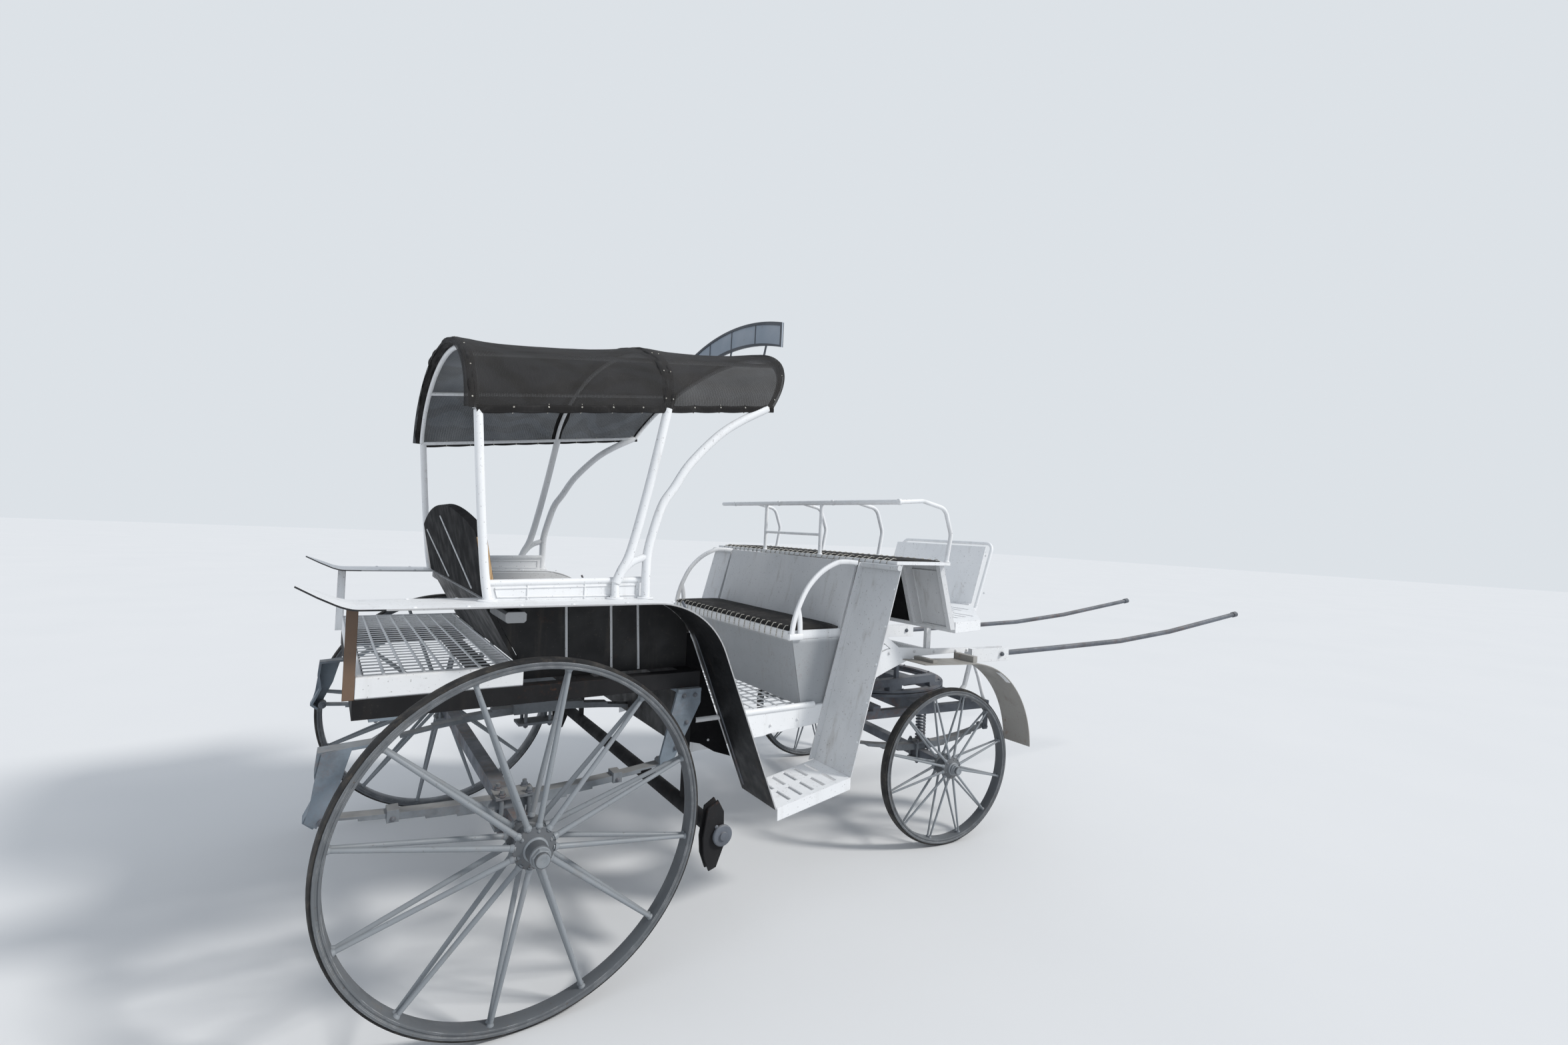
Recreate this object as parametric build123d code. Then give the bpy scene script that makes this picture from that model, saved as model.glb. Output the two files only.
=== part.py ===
from build123d import *
import math
import os

os.makedirs("parts", exist_ok=True)

# Frame while drawing: X forward from the rear axle, Y to the left, Z up, ground at 0, millimetres

# Clearances
GAP = 0.3
NEAR = 1
FREE = 2

# Wheels and steering
REAR_R = 550
REAR_HALF_TRACK = 915
FRONT_R = 385
FRONT_HALF_TRACK = 695
PIVOT_X = 2142
STEER_AT_REST = -7
JOURNAL_R = 20
HUB_BORE = JOURNAL_R + 0.05

# Widths from the middle
BODY_HALF = 592
SIDE_T = 12
INSIDE = BODY_HALF - SIDE_T
SILL_T = 20
BENCH_HALF = BODY_HALF - SILL_T
STRIP_W = 253
STRIP_OUT = BODY_HALF + STRIP_W
STRIP_IN = BODY_HALF + GAP
RAIL_IN = BODY_HALF + 48
RAIL_OUT = RAIL_IN + 50
PLATFORM_HALF = RAIL_OUT
SHEET = 5

# Levels
RAIL_LOW = 905
PLATFORM_LOW = 963
PLATFORM_TOP = 1029
STRIP_Z = 1245
STRIP_MID = STRIP_Z - SHEET / 2
STRIP_LOW = STRIP_Z - SHEET
FLOOR_TOP = 742
SEAT_TOP = 1150
BENCH_TOP = 1075
DRIVER_TOP = 1400
FRAME_T = 15
DRIVER_LOW = DRIVER_TOP - FRAME_T - GAP

# Lengths
TAIL_X = -463
SEAT_X = 10
RISER_X = 645
RISER_T = 15
FOOT_X0 = RISER_X + RISER_T + 12
FOOT_X1 = 1440


# Helpers
def box(x0, x1, y0, y1, z0, z1):
    shape = Box(abs(x1 - x0), abs(y1 - y0), abs(z1 - z0))
    return Pos((x0 + x1) / 2, (y0 + y1) / 2, (z0 + z1) / 2) * shape


def twin(x0, x1, y0, y1, z0, z1):
    return [box(x0, x1, y0, y1, z0, z1), box(x0, x1, -y1, -y0, z0, z1)]


def slab_xz(pts, y0, y1):
    face = make_face(Polyline(*[(x, 0, z) for x, z in pts], close=True))
    solid = extrude(face, amount=abs(y1 - y0), dir=(0, 1, 0))
    return Pos(0, min(y0, y1), 0) * solid


def slab_xy(pts, z0, z1):
    face = make_face(Polyline(*[(x, y, 0) for x, y in pts], close=True))
    solid = extrude(face, amount=abs(z1 - z0), dir=(0, 0, 1))
    return Pos(0, 0, min(z0, z1)) * solid


def rod(pts, dia, bend=0):
    pts = [Vector(*p) for p in pts]
    if len(pts) == 2:
        path = Line(pts[0], pts[1])
    elif bend > 0:
        path = FilletPolyline(*pts, radius=bend)
    else:
        path = Polyline(*pts)
    start = Plane(origin=pts[0], z_dir=pts[1] - pts[0])
    return sweep(start * Circle(dia / 2), path=path, transition=Transition.RIGHT)


def cyl_x(y, z, r, x0, x1):
    return Pos((x0 + x1) / 2, y, z) * Rot(0, 90, 0) * Cylinder(r, abs(x1 - x0))


def cyl_y(x, z, r, y0, y1):
    return Pos(x, (y0 + y1) / 2, z) * Rot(90, 0, 0) * Cylinder(r, abs(y1 - y0))


def cyl_z(x, y, r, z0, z1):
    return Pos(x, y, (z0 + z1) / 2) * Cylinder(r, abs(z1 - z0))


def join(parts):
    flat = []
    for p in parts:
        flat.extend(p if isinstance(p, (list, tuple)) else [p])
    out = flat[0]
    if len(flat) > 1:
        out = flat[0].fuse(*flat[1:])
        if isinstance(out, (list, ShapeList)):
            out = Compound(children=list(out))
    return out


def flip(shape):
    return mirror(shape, about=Plane.XZ)


def both(shapes):
    shapes = shapes if isinstance(shapes, (list, tuple)) else [shapes]
    return list(shapes) + [flip(s) for s in shapes]


def pair(shapes):
    return Compound(children=both(shapes))


def centred(half, pitch):
    # Places at one pitch, the same on both sides of the middle
    count = int(half // pitch)
    return [pitch * k for k in range(-count, count + 1)]


def band(pts, bend, thick, y0, y1):
    # A bent sheet: centre line in the XZ plane, given thickness, between two Y values
    line = [(x, 0, z) for x, z in pts]
    path = FilletPolyline(*line, radius=bend) if bend else Polyline(*line)
    start = Plane(origin=line[0], x_dir=(0, 1, 0), z_dir=Vector(*line[1]) - Vector(*line[0]))
    solid = sweep(start * Rectangle(abs(y1 - y0), thick), path=path, transition=Transition.RIGHT)
    return Pos(0, (y0 + y1) / 2, 0) * solid


nodes = {}

# Wheels, drawn about the Y axis with the outer side towards +Y. first_deg is the first spoke pair's angle
SPOKE_PAIRS = 12
RIM_WEB = 5
TYRE_CROWN = 4
FLANGE_HALF = 5
SPOKE_SINK = 8
SPOKE_SPREAD = 8
WHEELS = {
    "rear": dict(radius=REAR_R, rim_in=517, rim_half=27, tyre_half=22, spoke=22, flange_r=62, flange_y=45,
                 hub_in=-60, hub_out=140, first_deg=170),
    "front": dict(radius=FRONT_R, rim_in=352, rim_half=26, tyre_half=21, spoke=15, flange_r=52, flange_y=38,
                  hub_in=-50, hub_out=92, first_deg=165),
}


def wheel(radius, rim_in, rim_half, tyre_half, spoke, flange_r, flange_y, hub_in, hub_out, first_deg):
    lip = radius - 12
    seat = rim_in + RIM_WEB
    rim_pts = [(rim_in, -rim_half), (lip, -rim_half), (lip, -tyre_half - GAP), (seat, -tyre_half - GAP),
               (seat, tyre_half + GAP), (lip, tyre_half + GAP), (lip, rim_half), (rim_in, rim_half)]
    rim = revolve(make_face(Polyline(*[(r, y, 0) for r, y in rim_pts], close=True)), axis=Axis.Y)
    barrel_r = flange_r * 0.62
    nose_r = flange_r * 0.5
    cap_r = nose_r * 0.7
    cap_y = hub_out - 28
    outer = flange_y + FLANGE_HALF
    inner = flange_y - FLANGE_HALF
    hub_pts = [(0, hub_out), (cap_r, hub_out), (cap_r, cap_y), (nose_r, cap_y), (nose_r, flange_y + 14),
               (barrel_r, flange_y + 14), (flange_r * 0.86, outer), (flange_r, outer), (flange_r, inner),
               (barrel_r, inner), (barrel_r, -inner), (flange_r, -inner), (flange_r, -outer),
               (barrel_r, -outer), (barrel_r, hub_in), (0, hub_in)]
    hub = revolve(make_face(Polyline(*[(r, y, 0) for r, y in hub_pts], close=True)), axis=Axis.Y)
    spokes = []
    for k in range(SPOKE_PAIRS):
        a = math.radians(first_deg - 360 / SPOKE_PAIRS * k)
        c, s = math.cos(a), math.sin(a)
        low = flange_r - SPOKE_SINK
        high = rim_in + FREE
        for side in (1, -1):
            spokes.append(rod([(c * low, side * flange_y, s * low), (c * high, side * SPOKE_SPREAD, s * high)], spoke))
    frame = join([rim, hub] + spokes) - cyl_y(0, 0, HUB_BORE, hub_in - 1, hub_out - 40)
    crown = radius - TYRE_CROWN
    tyre_face = make_face([Polyline((crown, -tyre_half, 0), (seat + GAP, -tyre_half, 0),
                                    (seat + GAP, tyre_half, 0), (crown, tyre_half, 0)),
                           ThreePointArc((crown, tyre_half, 0), (radius, 0, 0), (crown, -tyre_half, 0))])
    return frame, revolve(tyre_face, axis=Axis.Y)


def place_wheels(end, half_track, height, turn):
    frame, tyre = wheel(**WHEELS[end])
    for side, tag in ((1, "left"), (-1, "right")):
        place = turn * Pos(0, side * half_track, height)
        nodes[f"wheel_frame_{end}_{tag}"] = place * (frame if side > 0 else flip(frame))
        nodes[f"tyre_{end}_{tag}"] = place * (tyre if side > 0 else flip(tyre))


place_wheels("rear", REAR_HALF_TRACK, REAR_R, Pos(0, 0, 0))

# Rear axle with journals
AXLE_HALF = 25
AXLE_END = REAR_HALF_TRACK - 65
JOURNAL_END = REAR_HALF_TRACK + 95
bar = box(-AXLE_HALF, AXLE_HALF, -AXLE_END, AXLE_END, REAR_R - AXLE_HALF, REAR_R + AXLE_HALF)
nodes["rear_axle"] = join([bar] + both(cyl_y(0, REAR_R, JOURNAL_R, AXLE_END - 1, JOURNAL_END)))


def leaf_spring(half, rise, leaves, step, thick, y0, y1):
    # Leaves under (x, z) = (0, 0), each shorter by a step, bent up at the ends
    big = (half * half + rise * rise) / (2 * rise)
    out = []
    for i in range(leaves):
        h = half - step * i
        t0 = -thick * i
        t1 = -thick * (i + 1)
        e = big - math.sqrt(big * big - h * h)
        top = ThreePointArc((-h, 0, e + t0), (0, 0, t0), (h, 0, e + t0))
        low = ThreePointArc((h, 0, e + t1), (0, 0, t1), (-h, 0, e + t1))
        face = make_face([top, Line((h, 0, e + t0), (h, 0, e + t1)), low, Line((-h, 0, e + t1), (-h, 0, e + t0))])
        out.append(Pos(0, y0, 0) * extrude(face, amount=y1 - y0, dir=(0, 1, 0)))
    return join(out)


# Rear springs, one each side on the axle, with eyes, clips, plates and bolts
SPRING_IN = RAIL_IN + 17
SPRING_OUT = SPRING_IN + 45
SPRING_HALF = 521
SPRING_RISE = 28
SPRING_Z = REAR_R + AXLE_HALF + 35
EYE_Z = SPRING_Z + 24
EYE_R = 16
CLIP_X = 345
PLATE_HALF = 62
PLATE_WIDE = 20
PLATE_LOW = REAR_R - AXLE_HALF - 12
side_spring = [Pos(0, 0, SPRING_Z) * leaf_spring(SPRING_HALF, SPRING_RISE, 5, 88, 7, SPRING_IN, SPRING_OUT)]
for x in (-1, 1):
    side_spring.append(cyl_y(x * SPRING_HALF, EYE_Z, EYE_R, SPRING_IN, SPRING_OUT))
    side_spring.append(box(x * CLIP_X - 16, x * CLIP_X + 16, SPRING_IN - 4, SPRING_OUT + 4, SPRING_Z - 14,
                           SPRING_Z + 22))
for z0, z1 in ((SPRING_Z, SPRING_Z + 10), (PLATE_LOW, REAR_R - AXLE_HALF - GAP)):
    side_spring.append(box(-PLATE_HALF, PLATE_HALF, SPRING_IN - PLATE_WIDE, SPRING_OUT + PLATE_WIDE, z0, z1))
for x in (-42, 42):
    for y in (SPRING_IN - 10, SPRING_OUT + 10):
        side_spring.append(cyl_z(x, y, 7, PLATE_LOW + 1, SPRING_Z + 30))
axle_way = box(-AXLE_HALF - GAP, AXLE_HALF + GAP, SPRING_IN - 57, SPRING_OUT + 58, REAR_R - AXLE_HALF - GAP,
               REAR_R + AXLE_HALF)
side_spring = join(side_spring) - axle_way

# Centre spring, arched upwards, under a block on a bracket of the chassis
CENTRE_X = 248
CENTRE_Z = 690
CENTRE_HALF = 24
BLOCK_X0 = 140
BLOCK_X1 = 330
BLOCK_HALF = 45
BLOCK_TOP = 768
BRACKET_T = 10
arched = mirror(leaf_spring(520, 46, 4, 110, 8, -CENTRE_HALF, CENTRE_HALF), about=Plane.XY)
centre = [Pos(CENTRE_X, 0, CENTRE_Z) * arched, box(BLOCK_X0, BLOCK_X1, -BLOCK_HALF, BLOCK_HALF, CENTRE_Z, BLOCK_TOP),
          box(BLOCK_X0 + 20, BLOCK_X1 - 10, -BLOCK_HALF, BLOCK_HALF, CENTRE_Z - 50, CENTRE_Z - 40)]
for x in (BLOCK_X0 + 50, BLOCK_X1 - 40):
    for y in (-34, 34):
        centre.append(cyl_z(x, y, 7, CENTRE_Z - 50, BLOCK_TOP))
bracket_x = (BLOCK_X0 + 10, BLOCK_X1 - 10)
bracket_half = BLOCK_HALF + 5
centre.append(box(*bracket_x, -bracket_half, bracket_half, BLOCK_TOP, BLOCK_TOP + 12))
centre += twin(*bracket_x, bracket_half - BRACKET_T, bracket_half, BLOCK_TOP + 12, RAIL_LOW)
nodes["rear_springs"] = Compound(children=both(side_spring) + [join(centre)])
spring_way = box(600, 800, -CENTRE_HALF - 16, CENTRE_HALF + 16, CENTRE_Z - 90, CENTRE_Z + 10)

# Chassis under the platform and the seat box
CROSS_BARS = [(TAIL_X, -420), (-60, -20), (205, 265), (590, RISER_X)]
rails = twin(TAIL_X, RISER_X + RISER_T, RAIL_IN, RAIL_OUT, RAIL_LOW, PLATFORM_LOW)
crosses = [box(x0, x1, -RAIL_IN - 1, RAIL_IN + 1, RAIL_LOW, PLATFORM_LOW) for x0, x1 in CROSS_BARS]
nodes["chassis_rails"] = join(rails + crosses)

# Spring irons: a bent scroll behind and a plate hanger in front
SCROLL = [(-300, RAIL_LOW - 5), (-405, 833), (-535, 825), (-540, 768), (-531, 707), (-561, 640), (-538, 620)]
SCROLL_T = 9
HANGER = [(560, RAIL_LOW), (655, RAIL_LOW), (655, 850), (540, 618), (504, 618), (500, 660)]
scroll = join([band(SCROLL, 0, SCROLL_T, SPRING_IN - 7, SPRING_OUT + 7),
               box(-420, -290, SPRING_IN - 7, RAIL_OUT, RAIL_LOW - SCROLL_T, RAIL_LOW)])
hanger = join([slab_xz(HANGER, SPRING_OUT, SPRING_OUT + 12),
               box(560, 655, RAIL_IN, SPRING_OUT + 14, RAIL_LOW - 12, RAIL_LOW)])
nodes["spring_irons"] = pair([scroll - side_spring, hanger - side_spring])

# Rear platform: boards and grating. The corner angles stand in the ends of the side boards
BOARD_T = 25
ANGLE_T = 4
ANGLE_W = 30
GRATE_PITCH = 52
GRATE_CROSS = 54
BAR_HALF = 4
BAR_H = 14
CROSS_H = 8
BACK_BOARD_HALF = PLATFORM_HALF - ANGLE_W - 0.5
angle_x = TAIL_X + ANGLE_T + GAP
boards = twin(angle_x + NEAR, SEAT_X, PLATFORM_HALF - BOARD_T, PLATFORM_HALF, PLATFORM_LOW, PLATFORM_TOP)
boards.append(box(TAIL_X, angle_x + NEAR, -BACK_BOARD_HALF, BACK_BOARD_HALF, PLATFORM_LOW, PLATFORM_TOP))
boards.append(box(angle_x + NEAR, TAIL_X + BOARD_T, -PLATFORM_HALF, PLATFORM_HALF, PLATFORM_LOW, PLATFORM_TOP))


def grating(x0, x1, half, top, pitch, cross_at):
    long_bars = [box(x0, x1, y - BAR_HALF, y + BAR_HALF, top - BAR_H, top) for y in centred(half - 10, pitch)]
    low = top - BAR_H - CROSS_H
    cross_bars = [box(x - BAR_HALF, x + BAR_HALF, -half, half, low, top - BAR_H) for x in cross_at]
    return long_bars + cross_bars


grate = grating(TAIL_X + BOARD_T - 1, SEAT_X, PLATFORM_HALF - BOARD_T + 1, PLATFORM_TOP, GRATE_PITCH,
                range(TAIL_X + 79, SEAT_X, GRATE_CROSS))
grate.append(box(SEAT_X - 8, SEAT_X, -PLATFORM_HALF + BOARD_T - 1, PLATFORM_HALF - BOARD_T + 1, PLATFORM_LOW,
                 PLATFORM_TOP - BAR_H))
nodes["rear_platform"] = join(boards + grate)

# Seat box: hollow, with closed sides, a riser to the footwell, a seat board and a low sloping back
BACK_X = -113
BACK_T = 14
DROP_LOW = 640
FRONT_X = RISER_X + RISER_T
side_pts = [(SEAT_X + GAP, PLATFORM_LOW), (RISER_X, PLATFORM_LOW), (RISER_X, STRIP_LOW),
            (BACK_X + BACK_T + 1, STRIP_LOW), (SEAT_X + GAP, PLATFORM_TOP + 17)]
low_back_pts = [(BACK_X, STRIP_LOW), (BACK_X + BACK_T, STRIP_LOW), (SEAT_X + 1, PLATFORM_TOP + 11),
                (SEAT_X + 1, PLATFORM_TOP + GAP), (SEAT_X - 10, PLATFORM_TOP + GAP)]
seat_box = both(slab_xz(side_pts, INSIDE, BODY_HALF))
seat_box.append(slab_xz(low_back_pts, -BODY_HALF, BODY_HALF))
seat_box.append(box(RISER_X, FRONT_X, -BODY_HALF, BODY_HALF, PLATFORM_LOW, SEAT_TOP - 15))
seat_box += twin(RISER_X, FRONT_X, INSIDE, BODY_HALF, SEAT_TOP - 15, STRIP_LOW)
seat_box.append(box(60, FRONT_X, -INSIDE, INSIDE, SEAT_TOP - 15, SEAT_TOP))
seat_box.append(box(RISER_X, FOOT_X0, -BODY_HALF, BODY_HALF, DROP_LOW, PLATFORM_LOW))
nodes["rear_seat_box"] = join(seat_box) - spring_way
nodes["rear_seat_pad"] = box(62, FRONT_X - 5, -INSIDE + 6, INSIDE - 6, SEAT_TOP, SEAT_TOP + 42)

# Seat back: an arched panel on the side strips, leaning back
LEAN = math.atan2(42, 221)
BACK_HALF = BODY_HALF + 76
SHOULDER = 222
CROWN = 312
PANEL_T = 32
back_plane = Plane(origin=(BACK_X, 0, STRIP_Z), x_dir=(0, 1, 0), z_dir=(math.cos(LEAN), 0, math.sin(LEAN)))
back_outline = [Polyline((-BACK_HALF, SHOULDER), (-BACK_HALF, 4), (BACK_HALF, 4), (BACK_HALF, SHOULDER)),
                ThreePointArc((BACK_HALF, SHOULDER), (0, CROWN), (-BACK_HALF, SHOULDER))]
nodes["rear_seat_back"] = extrude(back_plane * make_face(back_outline), amount=PANEL_T)

# Seat side panels with a top rail, standing on the side strips
PANEL_IN = BACK_HALF + 6
PANEL_OUT = PANEL_IN + 10
PANEL_MID = (PANEL_IN + PANEL_OUT) / 2
side_panel = slab_xz([(-98, STRIP_Z), (400, STRIP_Z), (400, 1306), (-110, 1296)], PANEL_IN, PANEL_OUT)
side_panel = join([side_panel, rod([(-108, PANEL_MID, 1301), (404, PANEL_MID, 1311)], 22)])
nodes["seat_side_panels"] = pair(side_panel)

# Side ribbon: fender strip with a pointed tail, slotted step and slanted plate on each side
TAIL_TIP = (-612, 1297)
TAIL_START = -400
FENDER_TOP = (605, STRIP_MID)
FENDER_END = (935, 437)
FENDER_BEND = 300
TAIL_BEND = 150
TAIL_OUTER = [(-612, -123), (-560, -55), (-480, -7), (TAIL_START, 0)]
TAIL_INNER = [(-612, 114), (-560, 48), (-480, 12), (TAIL_START, 0)]
level = band([(TAIL_START, STRIP_MID), FENDER_TOP, FENDER_END], FENDER_BEND, SHEET, STRIP_IN, STRIP_OUT)
tail = band([TAIL_TIP, (-490, STRIP_MID), (TAIL_START, STRIP_MID)], TAIL_BEND, SHEET, STRIP_IN, STRIP_OUT)
plan_out = [(x, STRIP_OUT + dy) for x, dy in TAIL_OUTER]
plan_in = [(x, BODY_HALF + dy) for x, dy in TAIL_INNER]
trim_out = slab_xy([(-700, plan_out[0][1] - 20)] + plan_out + [(TAIL_START, STRIP_OUT + 55), (-700, STRIP_OUT + 55)],
                   STRIP_LOW - 40, TAIL_TIP[1] + 50)
trim_in = slab_xy([(-700, plan_in[0][1] - 6)] + plan_in + [(TAIL_START, BODY_HALF - 90), (-700, BODY_HALF - 90)],
                  STRIP_LOW - 40, TAIL_TIP[1] + 50)
fender = join([level, tail]) - trim_out - trim_in

STEP_REAR = (940, 440)
STEP_FRONT = (1305, 498)
STEP_TILT = math.degrees(math.atan2(STEP_FRONT[1] - STEP_REAR[1], STEP_FRONT[0] - STEP_REAR[0]))
LIP_H = 48
SLOT_ROWS = 5
SLOT_PITCH = 57
SLOT_X = 1015
SLOT_W = 15
SLOT_LEN = 96
SLOT_GAP = 22
slope = math.tan(math.radians(STEP_TILT))
lip = slab_xz([(STEP_REAR[0] + 1, STEP_REAR[1]), STEP_FRONT, (STEP_FRONT[0], STEP_FRONT[1] - LIP_H),
               (STEP_REAR[0] + 3, STEP_REAR[1] - LIP_H)], STRIP_OUT - SHEET, STRIP_OUT)
step = join([band([STEP_REAR, STEP_FRONT], 0, SHEET, STRIP_IN, STRIP_OUT), lip])
slot_mid = (BODY_HALF + STRIP_OUT) / 2 - 6
for row in range(SLOT_ROWS):
    x = SLOT_X + row * SLOT_PITCH
    z = STEP_REAR[1] + (x - STEP_REAR[0]) * slope
    for side in (-1, 1):
        y = slot_mid + side * (SLOT_LEN + SLOT_GAP) / 2
        step = step - Pos(x, y, z) * Rot(0, -STEP_TILT, 0) * Box(SLOT_W, SLOT_LEN, 6 * SHEET)
step = step - fender

SLANT_LOW = (1306, 500)
SLANT_TOP = (1548, 1392)
FLANGE_W = 34
CAP_TUBE_D = 26
slant = band([SLANT_LOW, SLANT_TOP], 0, SHEET, STRIP_IN, STRIP_OUT)
flange = slab_xz([(SLANT_LOW[0], SLANT_LOW[1] + SHEET), SLANT_TOP, (SLANT_TOP[0] - FLANGE_W, SLANT_TOP[1] - 2),
                  (SLANT_LOW[0] - FLANGE_W, SLANT_LOW[1] + 3)], STRIP_IN, STRIP_IN + SHEET)
cap_tube = cyl_y(SLANT_TOP[0] - 17, DRIVER_LOW - 12, CAP_TUBE_D / 2, STRIP_IN, STRIP_OUT)
slant = join([slant, flange, cap_tube]) - step
slant = slant - box(1200, 1700, 500, STRIP_OUT + 50, DRIVER_LOW, 1500)
nodes["side_fenders"] = pair(fender)
nodes["steps"] = pair(step)
nodes["slant_plates"] = pair(slant)

# Corner angles of the platform, perforated, carrying the tails of the strips
HOLE_R = 4.5
HOLE_PITCH = 30
post_top = STRIP_LOW
angle = join([box(angle_x - ANGLE_W, angle_x, PLATFORM_HALF - ANGLE_T, PLATFORM_HALF, PLATFORM_LOW + 1, post_top),
              box(TAIL_X + GAP, angle_x, PLATFORM_HALF - ANGLE_W, PLATFORM_HALF, PLATFORM_LOW + 1, post_top)])
for z in range(PLATFORM_LOW + 27, STRIP_LOW - 20, HOLE_PITCH):
    angle = angle - cyl_x(PLATFORM_HALF - ANGLE_W / 2, z, HOLE_R, TAIL_X - 5, TAIL_X + 10)
nodes["platform_posts"] = pair(angle - fender)

# Canopy posts: rear and middle straight, front curved, with a link between the last two
POST_D = 28
LINK_D = 22
POST_Y = PANEL_MID + 21
POSTS = [
    (120, [(-113, 0, STRIP_Z), (-133, 1, 1328), (-151, 4, 1628), (-171, 6, 1846)]),
    (90, [(304, -1, 1300), (357, 0, 1388), (467, 8, 1936)]),
    (230, [(417, 0, STRIP_Z), (417, 2, 1450), (530, 5, 1720), (893, 8, 1996)]),
]
canopy_post = [rod([(x, POST_Y + dy, z) for x, dy, z in pts], POST_D, bend) for bend, pts in POSTS]
canopy_post.append(rod([(x, POST_Y + dy, z) for x, dy, z in ((310, -1, 1316), (350, 0, 1374), (417, 2, 1401))],
                       LINK_D, 40))
canopy_post.append(cyl_z(304, POST_Y - 1, 13, STRIP_Z, 1310))
canopy_post = join(canopy_post) - box(-200, 500, 600, POST_Y + 60, 1200, STRIP_Z)
nodes["canopy_posts"] = pair(canopy_post - side_panel)

# Canopy hoops: half ellipses leaning forward by a given amount at the crown, and their net bands
EAVE = POST_Y + 1
HOOP_D = 18
PURLIN_D = 16
PURLIN_AT = (0, 45, 135, 180)
HOOPS = [
    dict(x=-178, z=1850, lean=0, crown=2152, band=(-42, 12), band_out=34),
    dict(x=460, z=1938, lean=40, crown=2246, band=(-46, 46), band_out=38),
    dict(x=904, z=2000, lean=204, crown=2330, band=(-12, 42), band_out=34),
]


def hoop_point(h, degrees, grow=0.0, dx=0.0):
    a = math.radians(degrees)
    rise = h["crown"] - h["z"]
    high = (rise + grow) * math.sin(a)
    return h["x"] + dx + h["lean"] * high / rise, (EAVE + grow) * math.cos(a), h["z"] + high


def hoop(h):
    rise = h["crown"] - h["z"]
    leaning = Plane(origin=(h["x"], 0, h["z"]), x_dir=(0, 1, 0), z_dir=(rise, 0, -h["lean"]))
    path = leaning * EllipticalCenterArc((0, 0), EAVE, math.hypot(rise, h["lean"]), start_angle=0, arc_size=180)
    return sweep(Plane(origin=path @ 0, z_dir=path % 0) * Circle(HOOP_D / 2), path=path)


hoops = [hoop(h) for h in HOOPS]
for degrees in PURLIN_AT:
    ends = [hoop_point(h, degrees) for h in HOOPS]
    hoops += [rod([ends[0], ends[1]], PURLIN_D), rod([ends[1], ends[2]], PURLIN_D)]
nodes["canopy_hoops"] = join(hoops) - nodes["canopy_posts"]

# Canopy net: a thin sheet over the hoops, with a thicker folded band along each hoop
NET_IN = 13
NET_T = 2
NET_STEPS = 20
BAND_IN = 11


def net_section(h, low, high, dx=0.0):
    turns = [180 * i / NET_STEPS for i in range(NET_STEPS + 1)]
    inner = [hoop_point(h, t, low, dx) for t in turns]
    outer = [hoop_point(h, t, high, dx) for t in turns]
    return make_face(Polyline(*inner, *outer[::-1], close=True))


sections = [net_section(h, NET_IN, NET_IN + NET_T) for h in HOOPS]
net = [loft([sections[0], sections[1]], ruled=True), loft([sections[1], sections[2]], ruled=True)]
for h in HOOPS:
    edges = [net_section(h, BAND_IN, h["band_out"], dx) for dx in h["band"]]
    net.append(loft(edges, ruled=True))
nodes["canopy_net"] = join(net) - nodes["canopy_posts"] - nodes["canopy_hoops"]

# Crescent over the front hoop: arched rim, panel, ribs and three stands
CRES_X = HOOPS[2]["x"] + HOOPS[2]["lean"]
CRES_HALF = 460
CRES_LOW = 2338
CRES_RISE = 66
CRES_H = 112
CRES_T = 12
RIM_W = 12
RIB_Y = 230
STAND_D = 10
plane_c = Plane(origin=(CRES_X, 0, CRES_LOW), x_dir=(0, 1, 0), z_dir=(1, 0, 0))


def crescent(inset):
    half = CRES_HALF - inset
    low = inset
    high = CRES_H - inset
    face = make_face([ThreePointArc((-half, low), (0, CRES_RISE + inset), (half, low)), Line((half, low), (half, high)),
                      ThreePointArc((half, high), (0, CRES_RISE + CRES_H - inset), (-half, high)),
                      Line((-half, high), (-half, low))])
    return plane_c * face


band_solid = extrude(crescent(0), amount=CRES_T)
rim = extrude(crescent(0) - crescent(RIM_W), amount=CRES_T)
panel = Pos(4, 0, 0) * extrude(crescent(RIM_W), amount=3)
ribs = [box(CRES_X + 1, CRES_X + CRES_T - 1, y - 3, y + 3, CRES_LOW, CRES_LOW + 200) & band_solid
        for y in (-RIB_Y, 0, RIB_Y)]
stands = [rod([(CRES_X + 6, y, CRES_LOW + 40), (CRES_X - 8, y, 2308)], STAND_D) for y in (-330, 330)]
stands.append(rod([(CRES_X + 6, 0, CRES_LOW + 72), (CRES_X - 1, 0, 2350)], STAND_D))
nodes["canopy_crescent"] = join([rim, panel] + ribs + stands) - nodes["canopy_net"]

# Footwell: side sills with a round moulding, floor grating and its bearers
SILL_LOW_REAR = 618
SILL_LOW_FRONT = 668
MOULD_D = 26
WELL_PITCH = 54
WELL_CROSS = 60
SILL_IN = BODY_HALF - SILL_T
foot_x = FOOT_X0 + GAP
sill_pts = [(foot_x, SILL_LOW_REAR), (foot_x, FLOOR_TOP), (FOOT_X1, FLOOR_TOP), (FOOT_X1, SILL_LOW_FRONT)]
well = both(slab_xz(sill_pts, SILL_IN, BODY_HALF))
well += both(rod([(700, BODY_HALF - 4, FLOOR_TOP + 4), (1290, BODY_HALF - 4, FLOOR_TOP + 4)], MOULD_D))
well += grating(foot_x, FOOT_X1, SILL_IN + 1, FLOOR_TOP, WELL_PITCH, range(720, FOOT_X1, WELL_CROSS))
bearer_top = FLOOR_TOP - BAR_H
well.append(box(foot_x, foot_x + 18, -SILL_IN - 1, SILL_IN + 1, DROP_LOW, bearer_top))
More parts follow.
